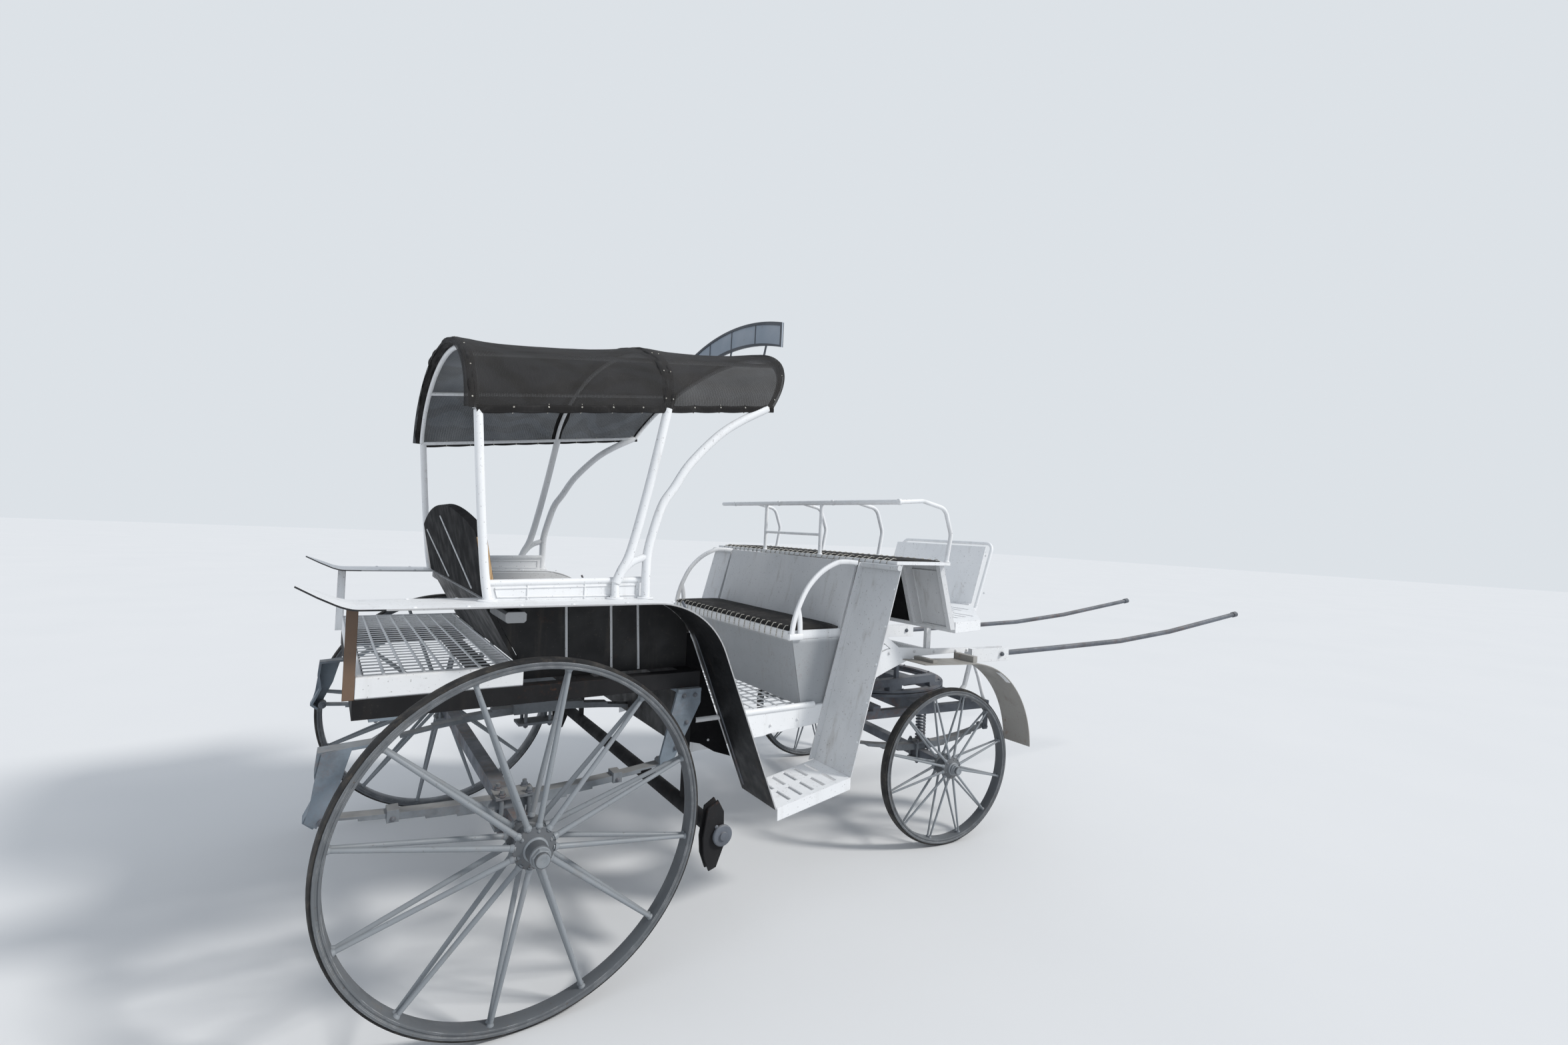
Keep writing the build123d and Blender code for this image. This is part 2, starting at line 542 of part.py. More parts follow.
well.append(box(FOOT_X1 - 40, FOOT_X1, -SILL_IN - 1, SILL_IN + 1, SILL_LOW_FRONT + 12, bearer_top))
nodes["footwell_floor"] = join(well) - nodes["steps"] - nodes["side_fenders"] - nodes["rear_seat_box"] - spring_way

# Front bench facing the rear: sloping apron, rail, seat board, rear legs, mat and leaning back
BENCH_X = 1142
BENCH_RAIL = 23
BENCH_RAIL_LOW = BENCH_TOP - 39
BENCH_BACK = 1434
BACKREST_T = 14
BENCH_LEAN = 76
BACKREST_TOP = DRIVER_TOP - 16
apron_x = BENCH_X + BENCH_RAIL - 5
floor_z = FLOOR_TOP + GAP
apron_pts = [(apron_x, BENCH_TOP - 9), (apron_x + 12, BENCH_TOP - 9), (apron_x + 77, floor_z), (apron_x + 65, floor_z)]
bench = [slab_xz(apron_pts, -BENCH_HALF, BENCH_HALF)]
bench.append(box(BENCH_X, BENCH_X + BENCH_RAIL, -BENCH_HALF, BENCH_HALF, BENCH_RAIL_LOW, BENCH_TOP))
bench += twin(BENCH_X + BENCH_RAIL, FOOT_X1, BENCH_HALF - 20, BENCH_HALF, BENCH_RAIL_LOW, BENCH_TOP)
bench.append(box(BENCH_X + BENCH_RAIL, FOOT_X1 - 4, -BENCH_HALF + 20, BENCH_HALF - 20, BENCH_TOP - 12, BENCH_TOP))
bench += twin(FOOT_X1 - 40, FOOT_X1, BENCH_HALF - 32, BENCH_HALF, floor_z, BENCH_RAIL_LOW)
nodes["front_bench_base"] = join(bench)
nodes["front_bench_pad"] = box(BENCH_X + 4, BENCH_BACK - 6, -BENCH_HALF + 4, BENCH_HALF - 4, BENCH_TOP, BENCH_TOP + 22)
back_pts = [(BENCH_BACK, BENCH_TOP), (BENCH_BACK + BACKREST_T, BENCH_TOP),
            (BENCH_BACK + BACKREST_T + BENCH_LEAN, BACKREST_TOP), (BENCH_BACK + BENCH_LEAN, BACKREST_TOP)]
nodes["front_bench_back"] = slab_xz(back_pts, -BENCH_HALF - 3, BENCH_HALF + 3)

# Armrests: flat bars from the top of the back to the bench, each ending in two feet
ARM_IN = BENCH_HALF + 4
ARM_OUT = BODY_HALF - 0.5
ARM_T = 14
ARM = [(1510, 1379), (1380, 1383), (1278, 1331), (1205, 1240), (1163, 1150), (1152, 1062)]
ARM_LEG = [(1172, 1170), (1196, 1090), (1200, 1062)]
arm = join([band(ARM, 40, ARM_T, ARM_IN, ARM_OUT), band(ARM_LEG, 20, ARM_T, ARM_IN, ARM_OUT),
            box(BENCH_X - 2, 1212, ARM_IN, ARM_OUT, BENCH_RAIL_LOW, BENCH_RAIL_LOW + 28),
            box(1150, 1160, BENCH_HALF, ARM_IN + 1, BENCH_RAIL_LOW + 4, BENCH_RAIL_LOW + 24)])
nodes["armrests"] = pair(arm - nodes["front_bench_back"] - nodes["front_bench_base"] - slant)

# Driver's seat: frame, mat, back rail on two uprights, and hoops from the rail to the front bar
DS_X0 = 1544
DS_X1 = 1887
DS_HALF = STRIP_OUT - 32
DS_BAR = 28
RAIL_Z = 1665
MID_RAIL_Z = 1501
UPRIGHT_Y = (-230, 290)
HOOP_Y = (-DS_HALF + 13, -325, 160, DS_HALF - 168)
rail_x = DS_X0 + DS_BAR / 2
seat = [box(x0, x0 + DS_BAR, -DS_HALF, DS_HALF, DRIVER_TOP - FRAME_T, DRIVER_TOP) for x0 in (DS_X0, DS_X1 - DS_BAR)]
for y in (-DS_HALF + DS_BAR / 2, -400, 0, 400, DS_HALF - DS_BAR / 2):
    seat.append(box(DS_X0, DS_X1, y - DS_BAR / 2, y + DS_BAR / 2, DRIVER_TOP - FRAME_T, DRIVER_TOP))
seat.append(rod([(rail_x, -DS_HALF + 13, RAIL_Z), (rail_x, DS_HALF - 13, RAIL_Z)], 24))
seat += [cyl_z(rail_x, y, 10, DRIVER_TOP, RAIL_Z) for y in UPRIGHT_Y]
seat.append(rod([(rail_x, UPRIGHT_Y[0], MID_RAIL_Z), (rail_x, UPRIGHT_Y[1], MID_RAIL_Z)], 14))
for y in HOOP_Y:
    seat.append(rod([(rail_x, y, RAIL_Z), (1700, y, RAIL_Z + 13), (1850, y, RAIL_Z - 15), (1896, y, 1530),
                     (DS_X1 - DS_BAR / 2, y, DRIVER_TOP)], 20, 60))
nodes["driver_seat_frame"] = join(seat)
nodes["driver_seat_mat"] = box(DS_X0 + 26, DS_X1 - 34, -DS_HALF + 32, DS_HALF - 32, DRIVER_TOP, DRIVER_TOP + 10)

# Driver's front wall, framed, leaning forward at its foot
WALL_HALF = 780
WALL_T = 12
WALL_TOP_X = 1879
WALL_LOW_X = 1977
WALL_LOW_Z = 1075
STUD_D = 20
STUD_HALF = 12
wall_pts = [(WALL_TOP_X - WALL_T, DRIVER_LOW), (WALL_TOP_X, DRIVER_LOW), (WALL_LOW_X, WALL_LOW_Z),
            (WALL_LOW_X - WALL_T, WALL_LOW_Z)]
stud_pts = [(x - STUD_D, z) for x, z in (wall_pts[0], wall_pts[3])]
stud_pts = [stud_pts[0], wall_pts[0], wall_pts[3], stud_pts[1]]
wall_end = WALL_HALF - STUD_HALF
wall = [slab_xz(wall_pts, -WALL_HALF, WALL_HALF)]
wall += [slab_xz(stud_pts, y - STUD_HALF, y + STUD_HALF) for y in (-wall_end, -520, -260, 0, 260, 520, wall_end)]
nodes["driver_wall"] = join(wall)

# Footboard: a thin tray, wide at the wall and narrow at the dash, slotted, rising forwards
FB_X0 = WALL_LOW_X + 1
FB_X1 = 2160
FB_X2 = 2560
FB_NOSE = 390
FB_LOW = 1058
FB_TOP = 1110
FB_T = 6
FB_SLOPE = math.degrees(math.atan2(23, 580))
FB_SLOT_LEN = 140
FB_SLOT_W = 18
FB_SLOT_Y = 180
tray_out = [(FB_X0, -WALL_HALF), (FB_X1, -WALL_HALF), (FB_X2, -FB_NOSE), (FB_X2, FB_NOSE), (FB_X1, WALL_HALF),
            (FB_X0, WALL_HALF)]
tray_in = [(FB_X0 + 20, -WALL_HALF + FB_T), (FB_X1 - 3, -WALL_HALF + FB_T), (FB_X2 - FB_T, -FB_NOSE + 3),
           (FB_X2 - FB_T, FB_NOSE - 3), (FB_X1 - 3, WALL_HALF - FB_T), (FB_X0 + 20, WALL_HALF - FB_T)]
tray = slab_xy(tray_out, FB_LOW, FB_TOP) - slab_xy(tray_in, FB_LOW - 8, FB_TOP - FB_T)
slope_back = (WALL_HALF - FB_NOSE) / (FB_X2 - FB_X1)
for x in range(FB_X0 + 62, FB_X2 - 60, 58):
    reach = WALL_HALF if x < FB_X1 else WALL_HALF - (x - FB_X1) * slope_back
    for k in range(-4, 4):
        y = 110 + FB_SLOT_Y * k
        if abs(y) + FB_SLOT_LEN / 2 + 40 < reach:
            tray = tray - box(x, x + FB_SLOT_W, y - FB_SLOT_LEN / 2, y + FB_SLOT_LEN / 2, FB_TOP - 20, FB_TOP + 10)
tray = Pos(FB_X0, 0, 1084) * Rot(0, -FB_SLOPE, 0) * Pos(-FB_X0, 0, -1084) * tray
nodes["footboard"] = tray - box(FB_X0 - 78, FB_X0 + 0.5, -WALL_HALF - 120, WALL_HALF + 120, 1000, 1200)

# Dash: plain panel and a tube frame in front of it
DASH_HALF = FB_NOSE - 20
DASH_TUBE_Y = FB_NOSE - 18
DASH = [(2572, 1138), (2578, 1138), (2685, 1474), (2679, 1474)]
DASH_TUBE = [(2600, 1096), (2742, 1492)]
tube_path = [(x, -DASH_TUBE_Y, z) for x, z in DASH_TUBE] + [(x, DASH_TUBE_Y, z) for x, z in DASH_TUBE[::-1]]
dash = [slab_xz(DASH, -DASH_HALF, DASH_HALF), rod(tube_path, 20, 45),
        box(FB_X2 - 8, 2578, -DASH_HALF, DASH_HALF, 1133, 1140)]
dash += [box(FB_X2, 2603, y - 10, y + 10, 1100, 1116) for y in (-DASH_TUBE_Y, DASH_TUBE_Y)]
dash += [rod([(2676, y, 1440), (2722, y, 1440)], 12) for y in (-DASH_HALF + 40, DASH_HALF - 40)]
nodes["dash_panel"] = join(dash) - nodes["footboard"]

# Arch plates over the front wheels, with ties, gussets and props
ARCH = [(FOOT_X1 + GAP, SILL_LOW_FRONT), (FOOT_X1 + GAP, FLOOR_TOP + 10), (1530, 850), (1640, 940), (1720, 964),
        (1794, 970), (2051, 948), (2301, 938), (2301, 918), (2137, 919), (1957, 919), (1861, 904), (1713, 856),
        (1633, 826), (1560, 782), (1490, 700)]
GUSSET = [(1530, 1130), (1560, 1130), (1800, 966), (1740, 966), (1540, 1098)]
ARCH_TIES = [(1660, 1700, 880, 930), (1990, 2030, 920, 945)]
PROPS = [(1995, 2025, 940, WALL_LOW_Z), (1670, 1700, 900, 940)]
arch = both(slab_xz(ARCH, INSIDE, BODY_HALF)) + both(slab_xz(GUSSET, INSIDE + 2, BODY_HALF))
arch += [box(x0, x1, -INSIDE, INSIDE, z0, z1) for x0, x1, z0, z1 in ARCH_TIES]
for x0, x1, z0, z1 in PROPS:
    arch += twin(x0, x1, INSIDE - 20, INSIDE, z0, z1)
nodes["arch_plates"] = join(arch) - nodes["footboard"] - nodes["driver_wall"] - nodes["slant_plates"]

# Lower beams and the upper turning ring, with the kingpin
RING_R = 400
RING_HALF = 22
UP_Z0 = 681
UP_Z1 = 693
BEAM_IN = 340
BEAM_OUT = 380
BEAM_LOW = 716
BEAM_TOP = 756
BEAM_MID = (BEAM_IN + BEAM_OUT) / 2
KING_R = 16
KING_LOW = 560
upper = twin(FOOT_X1 + GAP, 2290, BEAM_IN, BEAM_OUT, BEAM_LOW, BEAM_TOP)
upper.append(cyl_z(PIVOT_X, 0, RING_R + RING_HALF, UP_Z0, UP_Z1) - cyl_z(PIVOT_X, 0, RING_R - RING_HALF, UP_Z0 - 1,
                                                                         UP_Z1 + 1))
for x in (PIVOT_X - 150, PIVOT_X + 150):
    upper += twin(x - 45, x + 45, BEAM_IN, BEAM_OUT, UP_Z1, BEAM_LOW)
upper.append(box(PIVOT_X - 50, PIVOT_X + 50, -BEAM_IN, BEAM_IN, 700, 740))
upper.append(box(1700, 1740, -BEAM_IN, BEAM_IN, BEAM_LOW, BEAM_TOP))
upper.append(cyl_z(PIVOT_X, 0, KING_R, KING_LOW, 701))
upper += twin(2000, 2020, BEAM_MID - 10, BEAM_MID + 10, BEAM_TOP, ARCH_TIES[1][2])
nodes["turntable_upper"] = join(upper)

# Front mudguards on the body, round the wheel when it is straight
GUARD_IN = BODY_HALF - 17
GUARD_OUT = BODY_HALF + 153
GUARD_T = 4
GUARD_TAIL = (1822, 912)
GUARD_TOP = (2150, 893)
GUARD_END = (2650, 410)
guard_top = [(GUARD_TOP[0], 0, GUARD_TOP[1]), (2501, 0, 744), (GUARD_END[0], 0, GUARD_END[1])]
guard_low = [(GUARD_END[0] - GUARD_T, 0, GUARD_END[1]), (2498, 0, 741), (GUARD_TOP[0], 0, GUARD_TOP[1] - GUARD_T)]
tail_pts = [(GUARD_TAIL[0], 0, GUARD_TAIL[1]), (GUARD_TAIL[0], 0, GUARD_TAIL[1] - GUARD_T)]
guard_face = make_face([Line(tail_pts[0], guard_top[0]), ThreePointArc(*guard_top), Line(guard_top[2], guard_low[0]),
                        ThreePointArc(*guard_low), Line(guard_low[2], tail_pts[1]), Line(tail_pts[1], tail_pts[0])])
guard = Pos(0, GUARD_IN, 0) * extrude(guard_face, amount=GUARD_OUT - GUARD_IN, dir=(0, 1, 0))
guard = guard - box(1800, 2310, GUARD_IN - 75, BODY_HALF + 1, 600, 1000)
guard = join([guard, box(1900, 1930, BODY_HALF, 720, 907, 922), box(2190, 2220, BODY_HALF, 720, 890, 921)])
nodes["front_mudguards"] = pair(guard - nodes["arch_plates"])

# Brake beam with double shoes, hung on the chassis rails
BEAM_X = 645
BEAM_Z = 440
BEAM_R = 28
SHOE = [(575, 440), (590, 540), (628, 562), (652, 520), (658, 400), (630, 330), (602, 322), (580, 380)]
brake = [cyl_y(BEAM_X, BEAM_Z, BEAM_R, -REAR_HALF_TRACK - 25, REAR_HALF_TRACK + 25)]
for y0, y1 in ((-18, -11), (11, 18)):
    brake += both(slab_xz(SHOE, REAR_HALF_TRACK + y0, REAR_HALF_TRACK + y1))
brake += twin(BEAM_X - 11, BEAM_X + 11, RAIL_IN - 20, RAIL_IN, BEAM_Z, RAIL_LOW + 20)
nodes["brake_beam"] = join(brake) - nodes["chassis_rails"]

# Forecarriage, drawn straight about the pivot and then turned
turn = Pos(PIVOT_X, 0, 0) * Rot(0, 0, STEER_AT_REST)
FA_HALF = 22
FA_END = FRONT_HALF_TRACK - 63
front_axle = join([box(-FA_HALF, FA_HALF, -FA_END, FA_END, FRONT_R - FA_HALF, FRONT_R + FA_HALF)]
                  + both(cyl_y(0, FRONT_R, JOURNAL_R, FA_END - 1, FRONT_HALF_TRACK + 42)))

FS_IN = 458
FS_OUT = 502
FS_HALF = 430
FS_Z = FRONT_R + FA_HALF + 32
FS_EYE_Z = FS_Z + 50
FS_PLATE = 48
FS_LOW = FRONT_R - FA_HALF - 11
front_spring = [Pos(0, 0, FS_Z) * leaf_spring(FS_HALF, 52, 4, 92, 8, FS_IN, FS_OUT)]
front_spring += [cyl_y(x, FS_EYE_Z, 14, FS_IN, FS_OUT) for x in (-FS_HALF, FS_HALF)]
for z0, z1 in ((FS_Z, FS_Z + 10), (FS_LOW, FRONT_R - FA_HALF - GAP)):
    front_spring.append(box(-FS_PLATE, FS_PLATE, FS_IN - 12, FS_OUT + 12, z0, z1))
for x in (-34, 34):
    for y in (FS_IN - 7, FS_OUT + 7):
        front_spring.append(cyl_z(x, y, 6, FS_LOW - 2, FS_Z + 23))
front_spring = join(front_spring) - front_axle

FRAME_LOW = 590
SIDE_BAR_TOP = 630
RING_LOW_Z0 = 660
RING_LOW_Z1 = 676
PAD_LOW = RING_LOW_Z0 - 6
FRAME_OUT = 510
frame_parts = twin(-450, 450, FRAME_OUT - 40, FRAME_OUT, FRAME_LOW, SIDE_BAR_TOP)
frame_parts += [box(x - 22, x + 22, -FRAME_OUT, FRAME_OUT, SIDE_BAR_TOP, PAD_LOW) for x in (-300, 300)]
frame_parts.append(box(-60, 60, -FRAME_OUT, FRAME_OUT, FRAME_LOW, PAD_LOW))
frame_parts.append(cyl_z(0, 0, RING_R + RING_HALF, RING_LOW_Z0, RING_LOW_Z1)
                   - cyl_z(0, 0, RING_R - RING_HALF, RING_LOW_Z0 - 10, RING_LOW_Z1 + 14))
frame_parts += [box(x - 22, x + 22, -330, 330, PAD_LOW, RING_LOW_Z0) for x in (-300, 300)]
frame_parts += twin(-60, 60, RING_R - 24, RING_R + 24, PAD_LOW, RING_LOW_Z0)
for x in (-FS_HALF, FS_HALF):
    frame_parts += twin(x - 14, x + 14, FS_OUT, FS_OUT + 10, FS_EYE_Z - 15, FRAME_LOW + 2)
carriage = join(frame_parts) - cyl_z(0, 0, KING_R + 0.05, FRAME_LOW - 90, 800) - pair(front_spring)

# Forks that carry the shafts
BOLT_X = 573
BOLT_Y = 430
BOLT_Z = 873
BOLT_R = 9
FORK_X0 = 355
FORK_X1 = 631
FORK_IN = BOLT_Y - 26
FORK_OUT = BOLT_Y + 34
FORK_T = 8
FORK_LOW = BOLT_Z - 40
FORK_TOP = BOLT_Z + 34
fork = [box(FORK_X0, FORK_X1, FORK_IN, FORK_IN + FORK_T, FORK_LOW, FORK_TOP),
        box(FORK_X0, FORK_X1, FORK_OUT - FORK_T, FORK_OUT, FORK_LOW, FORK_TOP),
        box(FORK_X0, FORK_X0 + 45, FORK_IN + FORK_T - 1, FORK_OUT - FORK_T + 1, FORK_LOW, FORK_TOP),
        cyl_y(BOLT_X, BOLT_Z, BOLT_R, FORK_IN + 1, FORK_OUT + 6),
        rod([(300, 420, 645), (345, 426, 700), (375, 434, 840)], 26),
        rod([(440, 480, 625), (400, 470, 760), (380, 450, 840)], 20)]
fore = {"front_axle": front_axle, "front_springs": pair(front_spring), "forecarriage_frame": carriage,
        "shaft_forks": join(both(fork)) - carriage}
for name, shape in fore.items():
    nodes[name] = turn * shape
place_wheels("front", FRONT_HALF_TRACK, FRONT_R, turn)

# Shafts: bent tubes held in the forks by a bolt
SHAFT = [(520, 868), (1037, 884), (1632, 906), (2135, 953), (2896, 1060)]
SHAFT_D = 30
SHAFT_BEND = 400
TIP_D = 38
TIP_LONG = 36
shaft_y = (FORK_IN + FORK_OUT) / 2
end_x, end_z = SHAFT[-1]
fall = (SHAFT[-1][1] - SHAFT[-2][1]) / (SHAFT[-1][0] - SHAFT[-2][0])
shaft = join([rod([(x, shaft_y, z) for x, z in SHAFT], SHAFT_D, SHAFT_BEND),
              cyl_y(BOLT_X, BOLT_Z, 20, FORK_IN + FORK_T + 8, FORK_OUT - FORK_T - 8),
              rod([(end_x - TIP_LONG, shaft_y, end_z - TIP_LONG * fall), (end_x, shaft_y, end_z)], TIP_D)])
shaft = shaft - cyl_y(BOLT_X, BOLT_Z, BOLT_R + 0.05, FORK_IN - 4, FORK_OUT + 16)
for side, tag in ((1, "left"), (-1, "right")):
    nodes["shaft_" + tag] = turn * (shaft if side > 0 else flip(shaft))

# Shift so that the origin is the bottom centre of the whole
whole = Compound(children=[Compound(children=s.solids()) for s in nodes.values()]).bounding_box()
move = (-(whole.min.X + whole.max.X) / 2, -(whole.min.Y + whole.max.Y) / 2, -whole.min.Z)
print("shift", [round(v, 3) for v in move])
for name, shape in nodes.items():
    solids = [Pos(*move) * s for s in shape.solids()]
    out = solids[0] if len(solids) == 1 else Compound(children=solids)
    export_step(out, f"parts/{name}.step")
print(len(nodes), "nodes")
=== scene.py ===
import bpy
import bmesh
import math
import random
from mathutils import Matrix, Vector

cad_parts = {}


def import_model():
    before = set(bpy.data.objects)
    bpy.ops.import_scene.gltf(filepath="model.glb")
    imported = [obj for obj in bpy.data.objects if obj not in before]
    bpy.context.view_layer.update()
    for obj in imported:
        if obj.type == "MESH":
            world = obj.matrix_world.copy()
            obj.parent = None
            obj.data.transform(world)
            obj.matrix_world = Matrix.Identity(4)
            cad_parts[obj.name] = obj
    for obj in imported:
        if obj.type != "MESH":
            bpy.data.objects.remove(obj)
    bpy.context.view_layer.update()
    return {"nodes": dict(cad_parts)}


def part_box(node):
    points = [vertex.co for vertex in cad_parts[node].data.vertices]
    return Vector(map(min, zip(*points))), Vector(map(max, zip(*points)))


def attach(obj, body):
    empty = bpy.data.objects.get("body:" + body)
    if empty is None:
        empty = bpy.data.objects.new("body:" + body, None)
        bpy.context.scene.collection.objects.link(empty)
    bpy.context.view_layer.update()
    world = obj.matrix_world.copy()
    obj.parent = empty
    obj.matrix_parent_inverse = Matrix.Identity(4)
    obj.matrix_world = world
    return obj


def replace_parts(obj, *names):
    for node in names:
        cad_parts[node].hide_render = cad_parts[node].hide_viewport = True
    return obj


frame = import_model()
NODES = frame["nodes"]

# The drawing frame of the source is millimetres with X = 0 at the rear axle
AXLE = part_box("rear_axle")
SHIFT_X = (AXLE[0][0] + AXLE[1][0]) / 2

# Left, then right
SIDES = (1, -1)
UP = (0, 0, 1)
DOWN = (0, 0, -1)
ACROSS = (0, 1, 0)

# Sizes repeated from the source, in its drawing frame
PIVOT_X = 2142
STEER_AT_REST = math.radians(-7)
BODY_HALF = 592
WALL = 12
STRIP_TOP = 1245
MUDGUARD_R = 502
CRESCENT_X = 1113.5
FRONT_AXLE_Z = 385
SHAFT_BOLT = (573, 873)
EAVE = 701
HOOPS = [dict(x=-178, z=1850, lean=0, crown=2152), dict(x=460, z=1938, lean=40, crown=2246),
         dict(x=904, z=2000, lean=204, crown=2330)]
WHEELS = {
    "rear": dict(track=915, radius=550, rim_in=517, rim_half=27, tyre_half=22, spoke=22,
                 flange_r=62, flange_y=45, hub_in=-60, hub_out=140, first_deg=170),
    "front": dict(track=695, radius=FRONT_AXLE_Z, rim_in=352, rim_half=26, tyre_half=21, spoke=15,
                  flange_r=52, flange_y=38, hub_in=-50, hub_out=92, first_deg=165),
}


def at(x, y, z):
    """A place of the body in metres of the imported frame."""
    return Vector((x / 1000 + SHIFT_X, y / 1000, z / 1000))


def fore(x, y, z):
    """A place of the forecarriage, measured from its kingpin and turned as in the photograph."""
    c, s = math.cos(STEER_AT_REST), math.sin(STEER_AT_REST)
    return at(PIVOT_X + x * c - y * s, x * s + y * c, z)


# Materials
class Nodes:
    """Short ways to add nodes to a node tree."""

    def __init__(self, tree):
        self.tree = tree
        tree.nodes.clear()

    def fill(self, node, values):
        """Links or sets the named inputs of a node, apart from those whose value is None."""
        for key, value in values.items():
            socket = node.inputs[key]
            if isinstance(value, bpy.types.NodeSocket):
                self.tree.links.new(value, socket)
            elif isinstance(value, tuple) and socket.type == "RGBA":
                socket.default_value = (*value, 1)
            elif value is not None:
                socket.default_value = value

    def node(self, kind, values=None, **props):
        node = self.tree.nodes.new("ShaderNode" + kind)
        for key, value in props.items():
            setattr(node, key, value)
        self.fill(node, values or {})
        return node

    def math(self, kind, a, b=0):
        return self.node("Math", {0: a, 1: b}, operation=kind).outputs[0]

    def times(self, a, b):
        return self.math("MULTIPLY", a, b)

    def step(self, value, low, high, to_low=0, to_high=1):
        values = {"Value": value, "From Min": low, "From Max": high, "To Min": to_low, "To Max": to_high}
        return self.node("MapRange", values, interpolation_type="SMOOTHSTEP").outputs["Result"]

    def mix(self, factor, a, b):
        return self.node("Mix", {"Factor": factor, "A": a, "B": b}, data_type="RGBA").outputs["Result"]

    def tint(self, colour, over, where, share):
        """The colour with another one over it, where a mask says and in that share."""
        return self.mix(self.times(where, share), colour, over)

    def part(self, vector):
        return self.node("SeparateXYZ", {"Vector": vector}).outputs

    def dot(self, a, b):
        return self.node("VectorMath", {0: a, 1: b}, operation="DOT_PRODUCT").outputs["Value"]

    def bump(self, height, strength, distance, normal=None):
        values = {"Height": height, "Strength": strength, "Distance": distance, "Normal": normal}
        return self.node("Bump", values).outputs["Normal"]


class Tree(Nodes):
    """A material with a Principled shader."""

    def __init__(self, name):
        self.mat = bpy.data.materials.new(name)
        self.mat.use_nodes = True
        super().__init__(self.mat.node_tree)
        self.bsdf = self.node("BsdfPrincipled")
        self.node("OutputMaterial", {"Surface": self.bsdf.outputs["BSDF"]})
        coords = self.node("TexCoord").outputs
        self.place, self.normal = coords["Object"], coords["Normal"]

    def noise(self, scale, stretch=(1, 1, 1), detail=4, rough=0.55):
        place = self.node("Mapping", {"Vector": self.place, "Scale": stretch}).outputs["Vector"]
        values = {"Vector": place, "Scale": scale, "Detail": detail, "Roughness": rough}
        return self.node("TexNoise", values).outputs["Fac"]

    def patches(self, scale, low, high, to_low=0, to_high=1, **kind):
        """Noise cut to soft patches between two of its levels."""
        return self.step(self.noise(scale, **kind), low, high, to_low, to_high)

    def wave(self, scale, direction, distortion):
        values = {"Vector": self.place, "Scale": scale, "Distortion": distortion}
        return self.node("TexWave", values, bands_direction=direction).outputs["Fac"]

    def worn_edge(self, radius):
        """A normal that rounds the edges off, and a mask of the edges."""
        soft = self.node("Bevel", {"Radius": radius}, samples=4).outputs["Normal"]
        plain = self.node("NewGeometry").outputs["Normal"]
        return soft, self.step(self.dot(soft, plain), 0.80, 0.97, 1, 0)

    def done(self, colour, rough, normal=None, spec=0.4):
        values = {"Base Color": colour, "Roughness": rough, "Specular IOR Level": spec, "Normal": normal}
        self.fill(self.bsdf, values)
        return self.mat


BENCH_RAIL_Z = 1035
WHITE_BASE = (0.83, 0.84, 0.85)
WHITE_SHADE = (0.70, 0.72, 0.74)
RUST = (0.17, 0.062, 0.022)
DIRT = (0.20, 0.165, 0.125)
# Metres between the bands of a wave texture at a scale of 1, then metres between plies and between strands
WAVE_LENGTH = 0.314
PLY_PITCH = 0.006
STRAND_PITCH = 0.004


def shaded(colour, share):
    return tuple(c * share for c in colour)


def paint(name, base, shade, rough=0.45, dirt=0.25, rust=0.15, chips=0.5, under=None, split=None,
          edge_tint=(0.19, 0.15, 0.12), spec=0.35):
    """Old brushed paint on steel, worn and rusted; it has the colour under where split is below zero."""
    t = Tree(name)
    soft, edge = t.worn_edge(0.0025)
    colour = t.mix(t.times(t.patches(2.6, 0.35, 0.70, detail=3), 0.5), base, shade)
    if under is not None:
        colour = t.mix(t.step(split(t), -0.02, 0.02), under, colour)
    streak = t.patches(9, 0.54, 0.76, stretch=(2.4, 2.4, 0.22), detail=5)
    colour = t.tint(colour, DIRT, streak, dirt)
    grime = t.patches(34, 0.56, 0.74, detail=6, rough=0.7)
    colour = t.tint(colour, DIRT, grime, dirt * 0.6)
    chip_at = t.patches(120, 0.66, 0.69, detail=3)
    colour = t.tint(colour, (0.10, 0.09, 0.08), chip_at, chips)
    wear = t.times(edge, t.patches(26, 0.42, 0.62))
    colour = t.tint(colour, edge_tint, wear, chips)
    spots = t.times(t.patches(5, 0.56, 0.70, detail=2),
                   t.patches(48, 0.52, 0.66, detail=5, rough=0.7))
    colour = t.tint(colour, RUST, spots, rust)
    rough_at = t.patches(14, 0.3, 0.7, rough - 0.08, rough + 0.16)
    brushed = t.noise(30, stretch=(1, 1, 0.25), detail=5)
    fine = t.noise(160, detail=3)
    normal = t.bump(fine, 0.14, 0.0006, t.bump(brushed, 0.22, 0.0012, soft))
    return t.done(colour, rough_at, normal, spec=spec)


def upper_face(t):
    """Above zero on faces that look up or forwards, below zero on the underside."""
    return t.dot(t.normal, (0.6, 0, 0.8))


def seat_side(t):
    """Below zero on the outer and rear faces of the seat box, above zero inside and in front."""
    normal, place = t.part(t.normal), t.part(t.place)
    outward = t.times(normal["Y"], place["Y"])
    rearward = t.times(normal["X"], -0.6)
    return t.math("SUBTRACT", 0.2, t.math("MAXIMUM", outward, rearward))


def far_side(t):
    """Above zero on the far side of the body, below zero on the near side."""
    return t.part(t.place)["Y"]


def above_bench_rail(t):
    return t.math("SUBTRACT", t.part(t.place)["Z"], BENCH_RAIL_Z / 1000)


